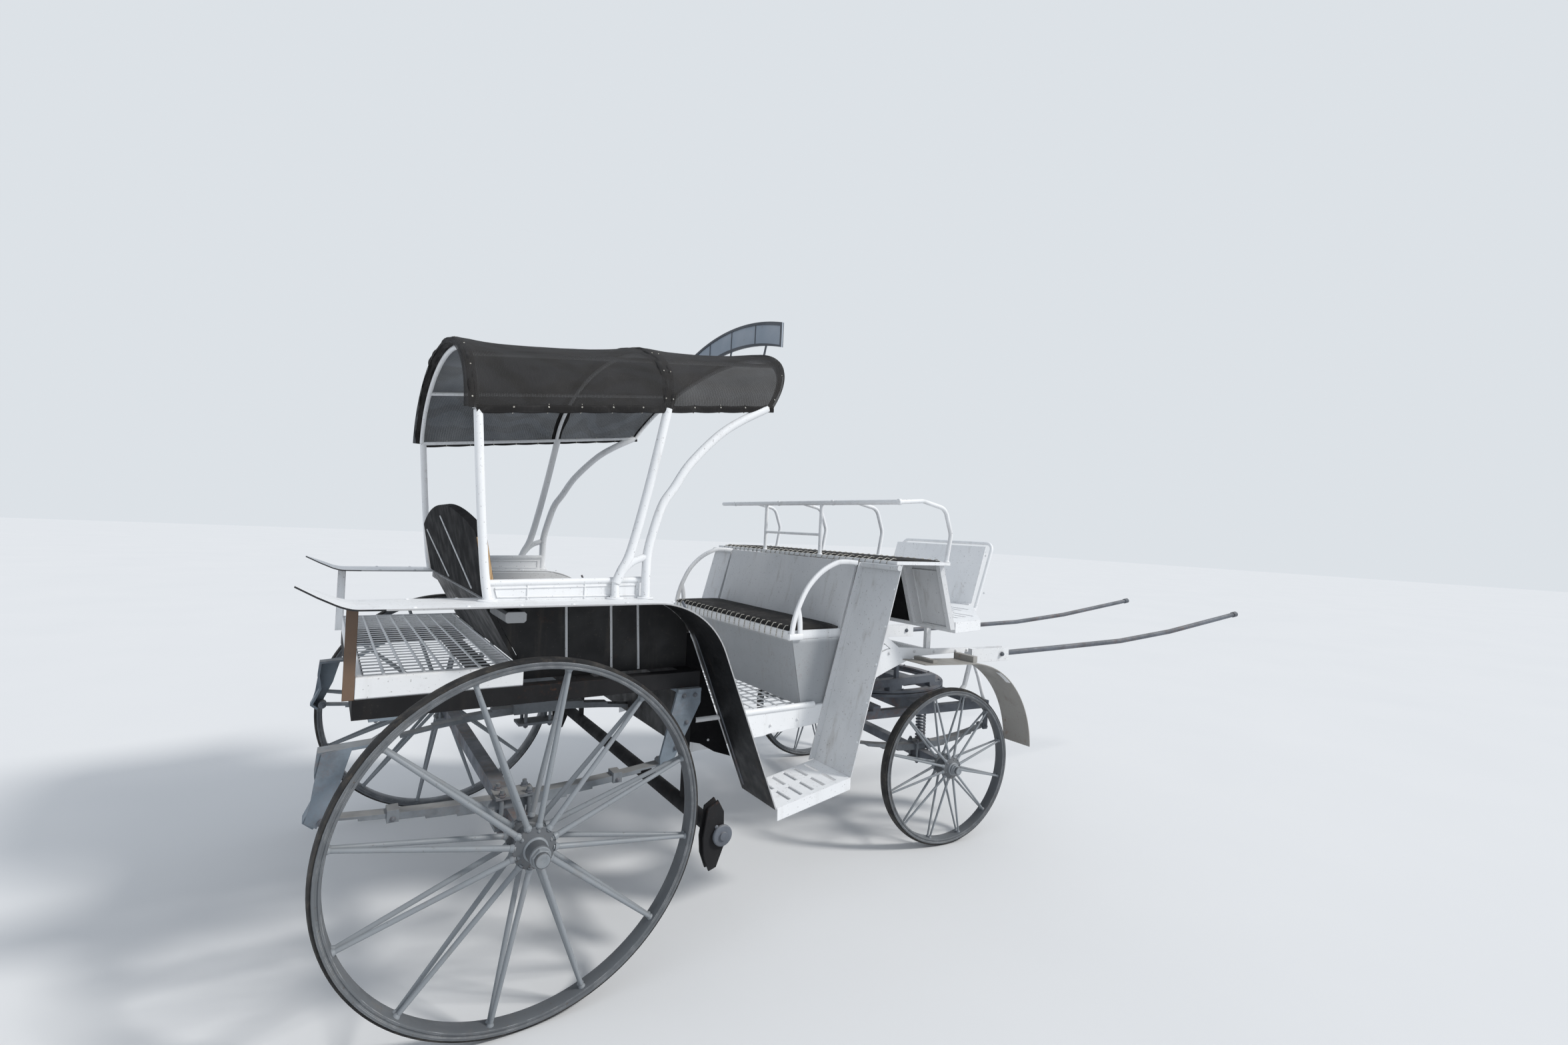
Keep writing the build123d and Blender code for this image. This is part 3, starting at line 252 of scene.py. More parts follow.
def cast_iron(name, base, rust=0.4, dust_and_top_light=0.15):
    """Blackened spring steel or iron with rust bloom, and pale dust on top that is also painted light
    falling on the upper faces.
    """
    t = Tree(name)
    soft, edge = t.worn_edge(0.002)
    colour = t.mix(t.patches(7, 0.38, 0.68, detail=5, rough=0.65), base, shaded(base, 0.62))
    bloom = t.times(t.patches(3.4, 0.44, 0.66, detail=3),
                   t.patches(42, 0.44, 0.62, detail=6, rough=0.75))
    colour = t.tint(colour, RUST, bloom, rust)
    # Paler on faces that look up: dust, and painted light from above
    dust = t.times(t.step(t.dot(t.normal, UP), 0.4, 0.95), t.noise(16, detail=5))
    colour = t.tint(colour, (0.42, 0.39, 0.35), dust, dust_and_top_light * 2)
    colour = t.tint(colour, (0.34, 0.33, 0.32), edge, 0.35)
    rough_at = t.patches(22, 0.3, 0.7, 0.48, 0.75)
    pits = t.noise(130, rough=0.7)
    return t.done(colour, rough_at, t.bump(pits, 0.35, 0.0009, soft), spec=0.4)


def rubber(name):
    """Solid rubber with fine cracks and road dust."""
    t = Tree(name)
    colour = t.mix(t.patches(11, 0.36, 0.66, detail=5), (0.020, 0.020, 0.021), (0.046, 0.044, 0.042))
    dust = t.patches(30, 0.50, 0.72, detail=6, rough=0.7)
    colour = t.tint(colour, (0.16, 0.13, 0.10), dust, 0.35)
    cracks = t.noise(85, stretch=(1, 3, 1), detail=5, rough=0.75)
    rough_at = t.patches(18, 0.3, 0.7, 0.62, 0.86)
    return t.done(colour, rough_at, t.bump(cracks, 0.4, 0.0012), spec=0.3)


def cloth(name, dark, pale, pitch, bump, dust):
    """A coarse woven mat or net, opaque."""
    t = Tree(name)
    bands = WAVE_LENGTH / pitch
    threads = t.math("MAXIMUM", t.wave(bands, "X", 0.4), t.wave(bands, "Y", 0.4))
    colour = t.mix(t.patches(6, 0.35, 0.70, detail=5), dark, pale)
    # Darker in the gaps between the threads: painted shade
    colour = t.mix(t.step(threads, 0.35, 0.85, 0.45, 0), colour, shaded(dark, 0.35))
    grey = t.patches(24, 0.50, 0.72, detail=6, rough=0.7)
    colour = t.tint(colour, (0.22, 0.21, 0.20), grey, dust)
    folds = t.noise(18, detail=5)
    normal = t.bump(threads, bump, 0.0012, t.bump(folds, 0.3, 0.004))
    return t.done(colour, 0.85, normal, spec=0.25)


def shade_net(name):
    """Knitted shade net: dark threads with open meshes between them; its inner face is painted lighter and
    bluer, as painted light of the day coming through the net.
    """
    t = Tree(name)
    place = t.part(t.place)
    round_it = t.math("ARCTAN2", t.times(t.math("SUBTRACT", place["Z"], 1.95), 2.2), place["Y"])
    across = t.math("SINE", t.times(round_it, 700))
    along = t.math("SINE", t.times(place["X"], 1300))
    hole = t.times(t.step(across, 0.35, 0.6), t.step(along, 0.35, 0.6))
    moire = t.wave(3, "Z", 14)
    normal = t.part(t.normal)
    lift = t.times(normal["Z"], t.math("SUBTRACT", place["Z"], 1.75))
    outward = t.math("ADD", t.times(normal["Y"], place["Y"]), lift)
    blotch = t.patches(3.2, 0.35, 0.68)
    outer = t.mix(blotch, (0.020, 0.019, 0.018), (0.034, 0.032, 0.031))
    outer = t.mix(t.step(moire, 0.2, 0.8, 0, 0.35), outer, (0.034, 0.034, 0.036))
    # Inner face: lighter blue-grey, painted light of the day shining through the net
    inner = t.mix(blotch, (0.040, 0.050, 0.064), (0.062, 0.074, 0.092))
    inner = t.mix(t.step(moire, 0.25, 0.75, 0, 0.65), inner, (0.020, 0.024, 0.030))
    colour = t.mix(t.step(outward, -0.03, 0.03), inner, outer)
    solid = t.patches(4, 0.3, 0.7, 0.94, 0.985)
    between = t.math("SUBTRACT", 1, t.times(hole, 0.35))
    t.fill(t.bsdf, {"Alpha": t.times(solid, between)})
    folds = t.noise(9)
    return t.done(colour, 0.8, t.bump(across, 0.25, 0.0006, t.bump(folds, 0.35, 0.005)), spec=0.2)


def crescent_paint(name, panel_x):
    """Dark painted frame with a pale fine mesh panel at its middle depth."""
    t = Tree(name)
    place = t.part(t.place)
    off = t.math("ABSOLUTE", t.math("SUBTRACT", place["X"], panel_x))
    is_panel = t.step(off, 0.0022, 0.0026, 1, 0)
    mesh = t.math("MAXIMUM", t.math("SINE", t.times(place["Y"], 1800)),
                  t.math("SINE", t.times(place["Z"], 1800)))
    blotch = t.patches(5, 0.35, 0.7)
    frame_at = t.mix(blotch, (0.085, 0.095, 0.11), (0.13, 0.14, 0.155))
    panel_at = t.mix(blotch, (0.36, 0.42, 0.49), (0.46, 0.51, 0.57))
    panel_at = t.mix(t.step(mesh, 0.3, 0.9, 0.35, 0), panel_at, (0.16, 0.19, 0.23))
    spots = t.patches(40, 0.62, 0.72, detail=5, rough=0.7)
    colour = t.tint(t.mix(is_panel, frame_at, panel_at), RUST, spots, 0.4)
    return t.done(colour, 0.6, t.bump(mesh, 0.3, 0.0006, t.bump(t.noise(60), 0.2, 0.001)), spec=0.3)


def plywood(name):
    """The sawn edge of plywood, its plies in lines."""
    t = Tree(name)
    plies = t.wave(WAVE_LENGTH / PLY_PITCH, "X", 0.6)
    grain = t.noise(60, stretch=(3, 1, 0.2), detail=5)
    colour = t.mix(t.step(plies, 0.3, 0.7), (0.42, 0.27, 0.14), (0.58, 0.41, 0.24))
    colour = t.mix(t.step(grain, 0.5, 0.75, 0, 0.5), colour, (0.22, 0.13, 0.07))
    return t.done(colour, 0.75, t.bump(grain, 0.3, 0.0008), spec=0.25)


def cord_fibre(name, base):
    """Laid cord, its strands in slanting bands."""
    t = Tree(name)
    strands = t.wave(WAVE_LENGTH / STRAND_PITCH, "DIAGONAL", 0.5)
    # Darker in the grooves between the strands: painted shade
    colour = t.mix(t.step(strands, 0.2, 0.8), shaded(base, 0.55), base)
    colour = t.mix(t.patches(30, 0.5, 0.75, 0, 0.4), colour, DIRT)
    return t.done(colour, 0.85, t.bump(strands, 0.5, 0.0008), spec=0.2)


def vinyl(name, base):
    """Upholstery vinyl with grain, creases and a dull bloom of dust."""
    t = Tree(name)
    colour = t.mix(t.patches(5, 0.35, 0.7), base, shaded(base, 1.7))
    dust = t.patches(20, 0.54, 0.74, detail=6, rough=0.7)
    colour = t.tint(colour, (0.20, 0.18, 0.16), dust, 0.22)
    grain = t.noise(260, detail=3, rough=0.6)
    crease = t.noise(12, stretch=(1, 0.4, 1), detail=6, rough=0.6)
    rough_at = t.patches(16, 0.3, 0.7, 0.38, 0.62)
    return t.done(colour, rough_at, t.bump(grain, 0.25, 0.0006, t.bump(crease, 0.35, 0.004)), spec=0.45)


WHITE = paint("white_paint", WHITE_BASE, WHITE_SHADE, dirt=0.16, rust=0.25, chips=0.45)
STRIP = paint("strip_paint", WHITE_BASE, WHITE_SHADE, dirt=0.14,
              under=(0.016, 0.017, 0.019), split=upper_face)
# White paint made greyer for the panels, ribs and battens that stand in shade: painted shade
WHITE_IN_SHADE = paint("panel_paint_painted_shade", (0.66, 0.67, 0.68), (0.50, 0.52, 0.54), dirt=0.30)
# White above the bench rail, grey below it: painted shade under the bench seat
BENCH_SHADED_BELOW = paint("bench_paint_shaded_below", (0.82, 0.83, 0.84), (0.68, 0.70, 0.72), dirt=0.30,
              under=(0.34, 0.355, 0.37), split=above_bench_rail)
BLACK = paint("black_paint", (0.006, 0.006, 0.007), (0.010, 0.010, 0.011), rough=0.75, dirt=0.03,
              rust=0.05, chips=0.1, spec=0.15)
# Near-black paint, darkened further so that the rails under the platform read as shadow: painted shade
RAIL_BLACK_AND_SHADE = paint("rail_paint_and_painted_shade", (0.012, 0.012, 0.013), (0.022, 0.022, 0.024), rough=0.7, dirt=0.04,
             rust=0.20, chips=0.1, spec=0.2)
RIM = paint("rim_paint", (0.12, 0.13, 0.14), (0.080, 0.086, 0.095), dirt=0.18, rust=0.12, chips=0.9,
            edge_tint=(0.55, 0.56, 0.57))
SPOKE = paint("spoke_paint", (0.25, 0.27, 0.29), (0.18, 0.20, 0.215), dirt=0.18, rust=0.12, chips=0.4)
SPRING = cast_iron("spring_steel", (0.20, 0.22, 0.24), rust=0.12, dust_and_top_light=0.30)
CHANNEL = paint("channel_paint", (0.20, 0.21, 0.22), (0.14, 0.15, 0.16), dirt=0.2, rust=0.3, chips=0.3)
SCROLL = cast_iron("scroll_iron", (0.19, 0.23, 0.27), rust=0.25, dust_and_top_light=0.30)
SEAT_BOX = paint("seat_box_paint", (0.80, 0.81, 0.82), (0.66, 0.68, 0.70), dirt=0.15, rust=0.2, chips=0.3,
                 under=(0.010, 0.010, 0.011), split=seat_side)
IRON = cast_iron("grey_iron", (0.13, 0.145, 0.17))
MUDGUARD = paint("mudguard_paint", (0.34, 0.33, 0.31), (0.20, 0.18, 0.16), dirt=0.5, rust=0.6)
TYRE = rubber("tyre")
POST = paint("post_paint", WHITE_BASE, WHITE_SHADE, dirt=0.3, rust=0.6,
             under=(0.16, 0.105, 0.072), split=far_side)
CRESCENT = crescent_paint("crescent_paint", CRESCENT_X / 1000 + SHIFT_X)
NET = shade_net("shade_net")
ROLL = cloth("gathered_net", (0.016, 0.015, 0.015), (0.030, 0.029, 0.029), 0.004, bump=0.6, dust=0.08)
MAT = cloth("seat_mat", (0.020, 0.019, 0.019), (0.034, 0.032, 0.030), 0.007, bump=0.7, dust=0.22)
VINYL = vinyl("seat_vinyl", (0.020, 0.020, 0.022))
PLY = plywood("plywood_edge")
CORD = cord_fibre("tie_cord", (0.62, 0.60, 0.54))

# Nodes that aren't white, without the tyres and those with a finer form below
NODE_MATERIAL = {
    "side_fenders": STRIP, "slant_plates": WHITE_IN_SHADE, "front_bench_base": BENCH_SHADED_BELOW, "front_bench_back": WHITE_IN_SHADE,
    "driver_wall": WHITE_IN_SHADE, "platform_posts": POST, "rear_seat_back": BLACK, "canopy_crescent": CRESCENT,
    "front_mudguards": MUDGUARD, "turntable_upper": IRON, "forecarriage_frame": IRON,
    "rear_springs": SPRING, "spring_irons": SCROLL, "front_springs": SPRING, "rear_axle": IRON,
    "front_axle": IRON, "chassis_rails": RAIL_BLACK_AND_SHADE, "brake_beam": RAIL_BLACK_AND_SHADE, "shaft_left": IRON, "shaft_right": IRON,
}


def paint_nodes():
    for name, node in NODES.items():
        mat = TYRE if name.startswith("tyre") else NODE_MATERIAL.get(name, WHITE)
        for slot in node.material_slots:
            slot.material = mat
        if not node.material_slots:
            node.data.materials.append(mat)


paint_nodes()


# Shaping
def add_object(name, data):
    obj = bpy.data.objects.new(name, data)
    bpy.context.scene.collection.objects.link(obj)
    return obj


def put_in(name, mesh, body, mat, smooth=34):
    """Adds the mesh to the scene on its body, smooth up to an angle in degrees."""
    mesh.materials.append(mat)
    mesh.shade_smooth()
    mesh.set_sharp_from_angle(angle=math.radians(smooth))
    obj = add_object(name, mesh)
    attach(obj, body)
    return obj


def around(sides):
    return [2 * math.pi * k / sides for k in range(sides)]


def frames(pts, closed=False, up=None):
    """Each point of a path with two cross directions, carried along without twist."""
    pts = [Vector(p) for p in pts]
    n, side, out = len(pts), None, []
    for i, p in enumerate(pts):
        before = pts[i - 1] if i or closed else p
        after = pts[(i + 1) % n] if i < n - 1 or closed else p
        ahead = (after - before).normalized()
        if side is None:
            side = Vector(up).cross(ahead) if up else ahead.orthogonal()
        side = (side - ahead * side.dot(ahead)).normalized()
        out.append((p, side, ahead.cross(side)))
    return out


def curve(pts, steps=7):
    """A smooth line through the points."""
    p = [Vector(q) for q in pts]
    p = [p[0] * 2 - p[1]] + p + [p[-1] * 2 - p[-2]]
    out = []
    for i in range(1, len(p) - 2):
        bow = 2 * p[i - 1] - 5 * p[i] + 4 * p[i + 1] - p[i + 2]
        twist = 3 * p[i] - p[i - 1] - 3 * p[i + 1] + p[i + 2]
        for k in range(steps):
            f = k / steps
            out.append((2 * p[i] + (p[i + 1] - p[i - 1]) * f + bow * f * f + twist * f ** 3) / 2)
    return out + [p[-2]]


class Bits:
    """Parts of one body in one mesh, placed in millimetres of the drawing frame."""

    def __init__(self, name, mat, body="body", place=at):
        self.name, self.body, self.mat, self.place = name, body, mat, place
        self.verts, self.faces = [], []

    def skin(self, rings, closed=False):
        base, n, count = len(self.verts), len(rings[0]), len(rings)
        for ring in rings:
            self.verts += [tuple(p) for p in ring]
        for i in range(count if closed else count - 1):
            a, b = base + i * n, base + (i + 1) % count * n
            self.faces += [(a + k, a + (k + 1) % n, b + (k + 1) % n, b + k) for k in range(n)]
        if not closed:
            self.faces.append(tuple(base + k for k in range(n))[::-1])
            self.faces.append(tuple(base + (count - 1) * n + k for k in range(n)))

    def turned(self, foot, axis, profile, sides=14):
        """A turned fitting: its profile is (distance from the foot, radius)."""
        axis = Vector(axis).normalized()
        side = axis.orthogonal().normalized()
        up = axis.cross(side)
        foot = Vector(foot)
        self.skin([[foot + axis * far + (side * math.cos(a) + up * math.sin(a)) * r for a in around(sides)]
                   for far, r in profile])

    def bolt(self, foot, axis, size):
        """A washer, a chamfered hexagon nut and the end of its bolt."""
        self.turned(foot, axis, [(-0.5, size), (size * 0.16, size), (size * 0.22, size * 0.94)], 14)
        self.turned(foot, axis, [(0, size * 0.82), (size * 0.7, size * 0.82), (size * 0.82, size * 0.70)], 6)
        self.turned(foot, axis, [(0, size * 0.42), (size * 1.0, size * 0.42), (size * 1.1, size * 0.32)], 10)

    def dome(self, foot, axis, size):
        """A round rivet or bolt head."""
        arc = [(size * 0.55 * math.sin(a), size * math.cos(a)) for a in (0.0, 0.35, 0.75, 1.15, 1.45)]
        self.turned(foot, axis, [(-0.5, size)] + arc, 12)

    def tube(self, pts, r, sides=8, closed=False, flat=1.0, up=None):
        self.skin([[p + s * math.cos(a) * r + u * math.sin(a) * r * flat for a in around(sides)]
                   for p, s, u in frames(pts, closed, up)], closed)

    def bar(self, pts, width, thick, up):
        w, h = width / 2, thick / 2
        c = min(w, h) * 0.4
        corners = [(-w, c - h), (c - w, -h), (w - c, -h), (w, c - h),
                   (w, h - c), (w - c, h), (c - w, h), (-w, h - c)]
        self.skin([[p + s * x + u * y for x, y in corners] for p, s, u in frames(pts, up=up)])

    def slab(self, pts, y0, y1):
        """A plate with its outline in X and Z, between two places across the carriage."""
        self.skin([[(x, y, z) for x, z in pts] for y in (y0, y1)])

    def board(self, x0, x1, y0, y1, z0, z1):
        """A board with eased edges, along its longer level side."""
        x, y, z = (x0 + x1) / 2, (y0 + y1) / 2, (z0 + z1) / 2
        if x1 - x0 > y1 - y0:
            self.bar([(x0, y, z), (x1, y, z)], y1 - y0, z1 - z0, UP)
        else:
            self.bar([(x, y0, z), (x, y1, z)], x1 - x0, z1 - z0, UP)

    def done(self, smooth=34):
        mesh = bpy.data.meshes.new(self.name)
        mesh.from_pydata([self.place(*v) for v in self.verts], [], self.faces)
        bm = bmesh.new()
        bm.from_mesh(mesh)
        bmesh.ops.recalc_face_normals(bm, faces=bm.faces)
        bm.to_mesh(mesh)
        bm.free()
        return put_in(self.name, mesh, self.body, self.mat, smooth)


# Wheels
SPOKE_PAIRS = 12
HUB_BOLTS = 6
# Distance of a spoke's outer end from the middle of the rim
SPOKE_SPREAD = 8


def rim_section(w):
    """Outline of the rim as (radius, distance across): lips, grooved sides and the seat of the tyre."""
    inner, lip, half, tyre = w["rim_in"], w["radius"] - 12, w["rim_half"], w["tyre_half"] + 0.4
    one_side = [(inner, half - 4), (inner + 2, half - 0.5), (inner + 7, half), (inner + 9, half - 2.5),
                (lip - 8, half - 2.5), (lip - 6, half), (lip, half), (lip + 1, half - 2), (lip, tyre),
                (inner + 5.3, tyre)]
    return one_side + [(r, -y) for r, y in reversed(one_side)]


def hub_profile(w):
    """Profile of the hub as (distance along the axle, radius), from its inner end to its nose."""
    flange, y, out = w["flange_r"], w["flange_y"], w["hub_out"]
    barrel, nose, cap = flange * 0.62, flange * 0.5, flange * 0.35
    return [(w["hub_in"], barrel * 0.9), (w["hub_in"] + 3, barrel), (-y - 5, barrel), (-y - 5, flange - 1.5),
            (-y - 3.5, flange), (5 - y, flange), (5 - y, barrel + 3), (8 - y, barrel), (y - 8, barrel),
            (y - 5, barrel + 3), (y - 5, flange), (y + 3.5, flange), (y + 5, flange - 1.5),
            (y + 6, flange * 0.86), (y + 14, barrel), (y + 15, nose + 4), (y + 18, nose),
            (out - 30, nose), (out - 28, nose - 2), (out - 28, cap), (out, cap)]


def hub_cap(bits, w):
    """Steps and cap on the end of the hub, and the bolts of its outer flange."""
    flange, face, tip = w["flange_r"], w["flange_y"] + 5, w["hub_out"]
    nose, cap, cap_y = flange * 0.5, flange * 0.35, tip - 28
    for y, profile, sides in (
            (cap_y, ((-1, nose * 0.96), (3, nose * 0.96), (5, nose * 0.88)), 28),
            (cap_y, ((3, cap * 1.26), (14, cap * 1.26), (17, cap * 1.10)), 6),
            (tip, ((-1, cap * 0.94), (1.5, cap * 0.90), (2.5, cap * 0.60), (1.0, cap * 0.45)), 20),
            (face + 9, ((-1, nose + 5), (4, nose + 5), (8, nose + 0.5)), 28)):
        bits.turned((0, y, 0), ACROSS, profile, sides)
    for k in range(HUB_BOLTS):
        a = math.radians(20 + 360 / HUB_BOLTS * k)
        r = flange * 0.78
        bits.bolt((r * math.cos(a), face + 1.5, r * math.sin(a)), ACROSS, flange * 0.095)


def spokes(rods, bits, w):
    """Pairs of tapered spokes from both flanges to the rim, with welded collars at their ends."""
    low, high = w["flange_r"] - 8, w["rim_in"] + 2
    r0, r1 = w["spoke"] * 0.40, w["spoke"] * 0.30
    for k in range(SPOKE_PAIRS):
        a = math.radians(w["first_deg"] - 360 / SPOKE_PAIRS * k)
        c, s = math.cos(a), math.sin(a)
        for edge in (1, -1):
            foot = Vector((c * low, edge * w["flange_y"], s * low))
            end_at = Vector((c * high, edge * SPOKE_SPREAD, s * high))
            run = (end_at - foot).normalized()
            rods.turned(foot, run, [(0, r0), ((end_at - foot).length, r1)], 14)
            bits.turned(end_at - run * 1.0, -run, [(0, r1 + 4.5), (4, r1 + 3.2), (9, r1 + 0.4)], 10)
            bits.turned(foot + run * 5.0, run, [(0, r0 + 3.5), (6, r0 + 2.6), (12, r0 + 0.4)], 10)


def wheel(end, side, tag):
    w = WHEELS[end]
    home = at if end == "rear" else fore

    def place(x, y, z):
        return home(x, side * (w["track"] + y), w["radius"] + z)

    body, name = f"wheel_{end}_{tag}", f"{end}_{tag}"
    rods = Bits(f"spokes_{name}", SPOKE, body, place)
    rim = Bits(f"rim_and_hub_{name}", RIM, body, place)
    bits = Bits(f"hub_fittings_{name}", SPOKE, body, place)
    section = rim_section(w)
    rim.skin([[(r * math.cos(a), y, r * math.sin(a)) for r, y in section] for a in around(120)], closed=True)
    rim.turned((0, 0, 0), ACROSS, hub_profile(w), 40)
    hub_cap(bits, w)
    spokes(rods, bits, w)
    bits.done()
    rods.done()
    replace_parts(rim.done(), f"wheel_frame_{name}")


for end in WHEELS:
    for side, tag in zip(SIDES, ("left", "right")):
        wheel(end, side, tag)


# Roof: net, rolls over the hoops, hems and ties
def hoop_point(h, degrees, grow=0.0, dx=0.0):
    """A place on a hoop, by its turn from the left eave, or off it by grow outwards and dx along X."""
    a = math.radians(degrees)
    rise = h["crown"] - h["z"]
    high = (rise + grow) * math.sin(a)
    return Vector((h["x"] + dx + h["lean"] * high / rise, (EAVE + grow) * math.cos(a), h["z"] + high))


# The net lies this far outside the middle line of the hoops
NET_OUT = 14
NET_TURNS = 72
SPANS = ((0, 1, 26), (1, 2, 20))
# The net stands out over the padding of each hoop and falls back within this distance
FLARE = 22
REACH = 95
# Ends that wrap round the padding: offset along X and distance out beyond the net's own
WRAP = ((-37, -6), (-36, 5), (-31, 14), (-22, 20), (-11, 22.5), (0, 22))
FRONT_WRAP = ((0, 22), (7, 19), (12, 12), (14, 3), (14, -6))
# Padding of gathered net: hoop, offset along X, radius, seed
ROLLS = ((0, -14, 14, 1), (1, -13, 14, 2), (1, 14, 14, 3), (2, -6, 11, 4))
ROLL_STEPS = 150
TIE_PITCH = 110


def net_rows():
    """Rows of the net: two hoops, the share between them, the offset along X and the extra distance out."""
    first, last = HOOPS[0], HOOPS[2]
    rows = [(first, first, 0.0, dx, extra) for dx, extra in WRAP]
    for i, j, steps in SPANS:
        length = HOOPS[j]["x"] - HOOPS[i]["x"]
        for k in range(1 if i == 0 else 0, steps):
            near = min(k, steps - k) / steps * length
            rows.append((HOOPS[i], HOOPS[j], k / steps, 0.0, FLARE * math.exp(-(near / REACH) ** 1.2)))
    return rows + [(last, last, 0.0, dx, extra) for dx, extra in FRONT_WRAP]


def net_sheet():
    """The net as one sheet over all three hoops, slack between them and lightly folded on them."""
    rnd = random.Random(11)
    verts, faces, wide = [], [], NET_TURNS + 1
    rows = net_rows()
    for row, (a, b, f, dx, extra) in enumerate(rows):
        free = math.sin(math.pi * f) if a is not b else 0.0
        shift = rnd.uniform(-0.4, 0.4)
        for k in range(wide):
            turn = 180 * k / NET_TURNS
            high = 0.3 + 0.7 * math.sin(math.radians(turn))
            pull = 1.4 * free * math.sin(k * 1.9 + row * 0.5 + shift) - 1.5 * free
            fold = 1.6 * (1 - free) * math.sin(k * 2.6 + shift)
            out = NET_OUT + extra * high + pull + (fold if a is not b else 0.0)
            verts.append(at(*hoop_point(a, turn, out, dx).lerp(hoop_point(b, turn, out, dx), f)))
    for row in range(len(rows) - 1):
        faces += [(row * wide + k, row * wide + k + 1, (row + 1) * wide + k + 1, (row + 1) * wide + k)
                  for k in range(wide - 1)]
    mesh = bpy.data.meshes.new("shade_net")
    mesh.from_pydata(verts, [], [f[::-1] for f in faces])
    return put_in("shade_net", mesh, "body", NET, 180)


def net_rolls(bits, ties):
    """Uneven rolls of gathered net along the hoops, with the heads of a few ties."""
    for number, dx, r, seed in ROLLS:
        h, rnd = HOOPS[number], random.Random(seed)
        lumps = [(rnd.choice((2, 3, 4, 5)), rnd.uniform(-26, 26), rnd.uniform(0, 6.28),
                  rnd.uniform(0.04, 0.10)) for _ in range(7)]
        swell = [(rnd.uniform(5, 19), rnd.uniform(0, 6.28), rnd.uniform(0.03, 0.07)) for _ in range(4)]
        rings = []
        for i in range(ROLL_STEPS + 1):
            turn = 180 * i / ROLL_STEPS
            a = math.radians(turn)
            lift = 0.45 + 0.55 * math.sin(a)
            size = r * (lift + sum(g * math.sin(f * a + p) for f, p, g in swell))
            out = 9 + 12 * lift
            middle = hoop_point(h, turn, out, dx)
            outward = (hoop_point(h, turn, out + 1, dx) - middle).normalized()
            ring = []
            for b in around(24):
                rr = size * (1 + sum(g * math.sin(n * b + f * a + p) for n, f, p, g in lumps))
                along = Vector((1.35, 0, 0)) * rr * math.cos(b)
                ring.append(middle + along + outward * 0.95 * rr * math.sin(b))
            rings.append(ring)
            if i % 17 == 9:
                ties.dome(middle + outward * (size + 1.5), outward, 2.6)
        bits.skin(rings)


def eave_hems(bits, ties):
    """Hems that sag a little between the ties along both eaves."""
    for turn, sign in ((0, 1), (180, -1)):
        pts = []
        for i, j, steps in SPANS:
            a, b = hoop_point(HOOPS[i], turn, NET_OUT), hoop_point(HOOPS[j], turn, NET_OUT)
            length = (b - a).length
            count = int(length / (TIE_PITCH / 6))
            for k in range(count):
                p = a.lerp(b, k / count)
                sag = abs(math.sin(math.pi * k / count * length / TIE_PITCH))
                pts.append(p + Vector((0, sign * 1.0, -2.0 - 3.0 * sag)))
            for k in range(1, int(length / TIE_PITCH) + 1):
                p = a.lerp(b, min(0.985, k * TIE_PITCH / length)) + Vector((0, sign * 1.0, -2.0))
                loop = [p + Vector((1.5 * math.sin(t), 6.5 * math.cos(t) - sign * 5.0, 15.5 * math.sin(t)))
                        for t in around(18)]
                ties.tube(loop, 1.3, 6, closed=True)
                knot = p + Vector((0, sign * 2.0, 4))
                ties.turned(knot, (0, sign, 0.2), [(0, 2.8), (2, 3.0), (3.5, 1.4)], 9)
        pts.append(hoop_point(HOOPS[2], turn, NET_OUT) + Vector((15, sign, -2)))
        bits.tube(pts, 13, 14, flat=0.30, up=(0, sign, 0))


def roof():
    net = net_sheet()
    rolls, ties = Bits("net_rolls", ROLL), Bits("net_ties", CORD)
    net_rolls(rolls, ties)
    hems = Bits("net_hems", ROLL)
    eave_hems(hems, ties)
    pieces = [rolls.done(60), ties.done(60), hems.done(60)]
    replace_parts(net, "canopy_net")


roof()


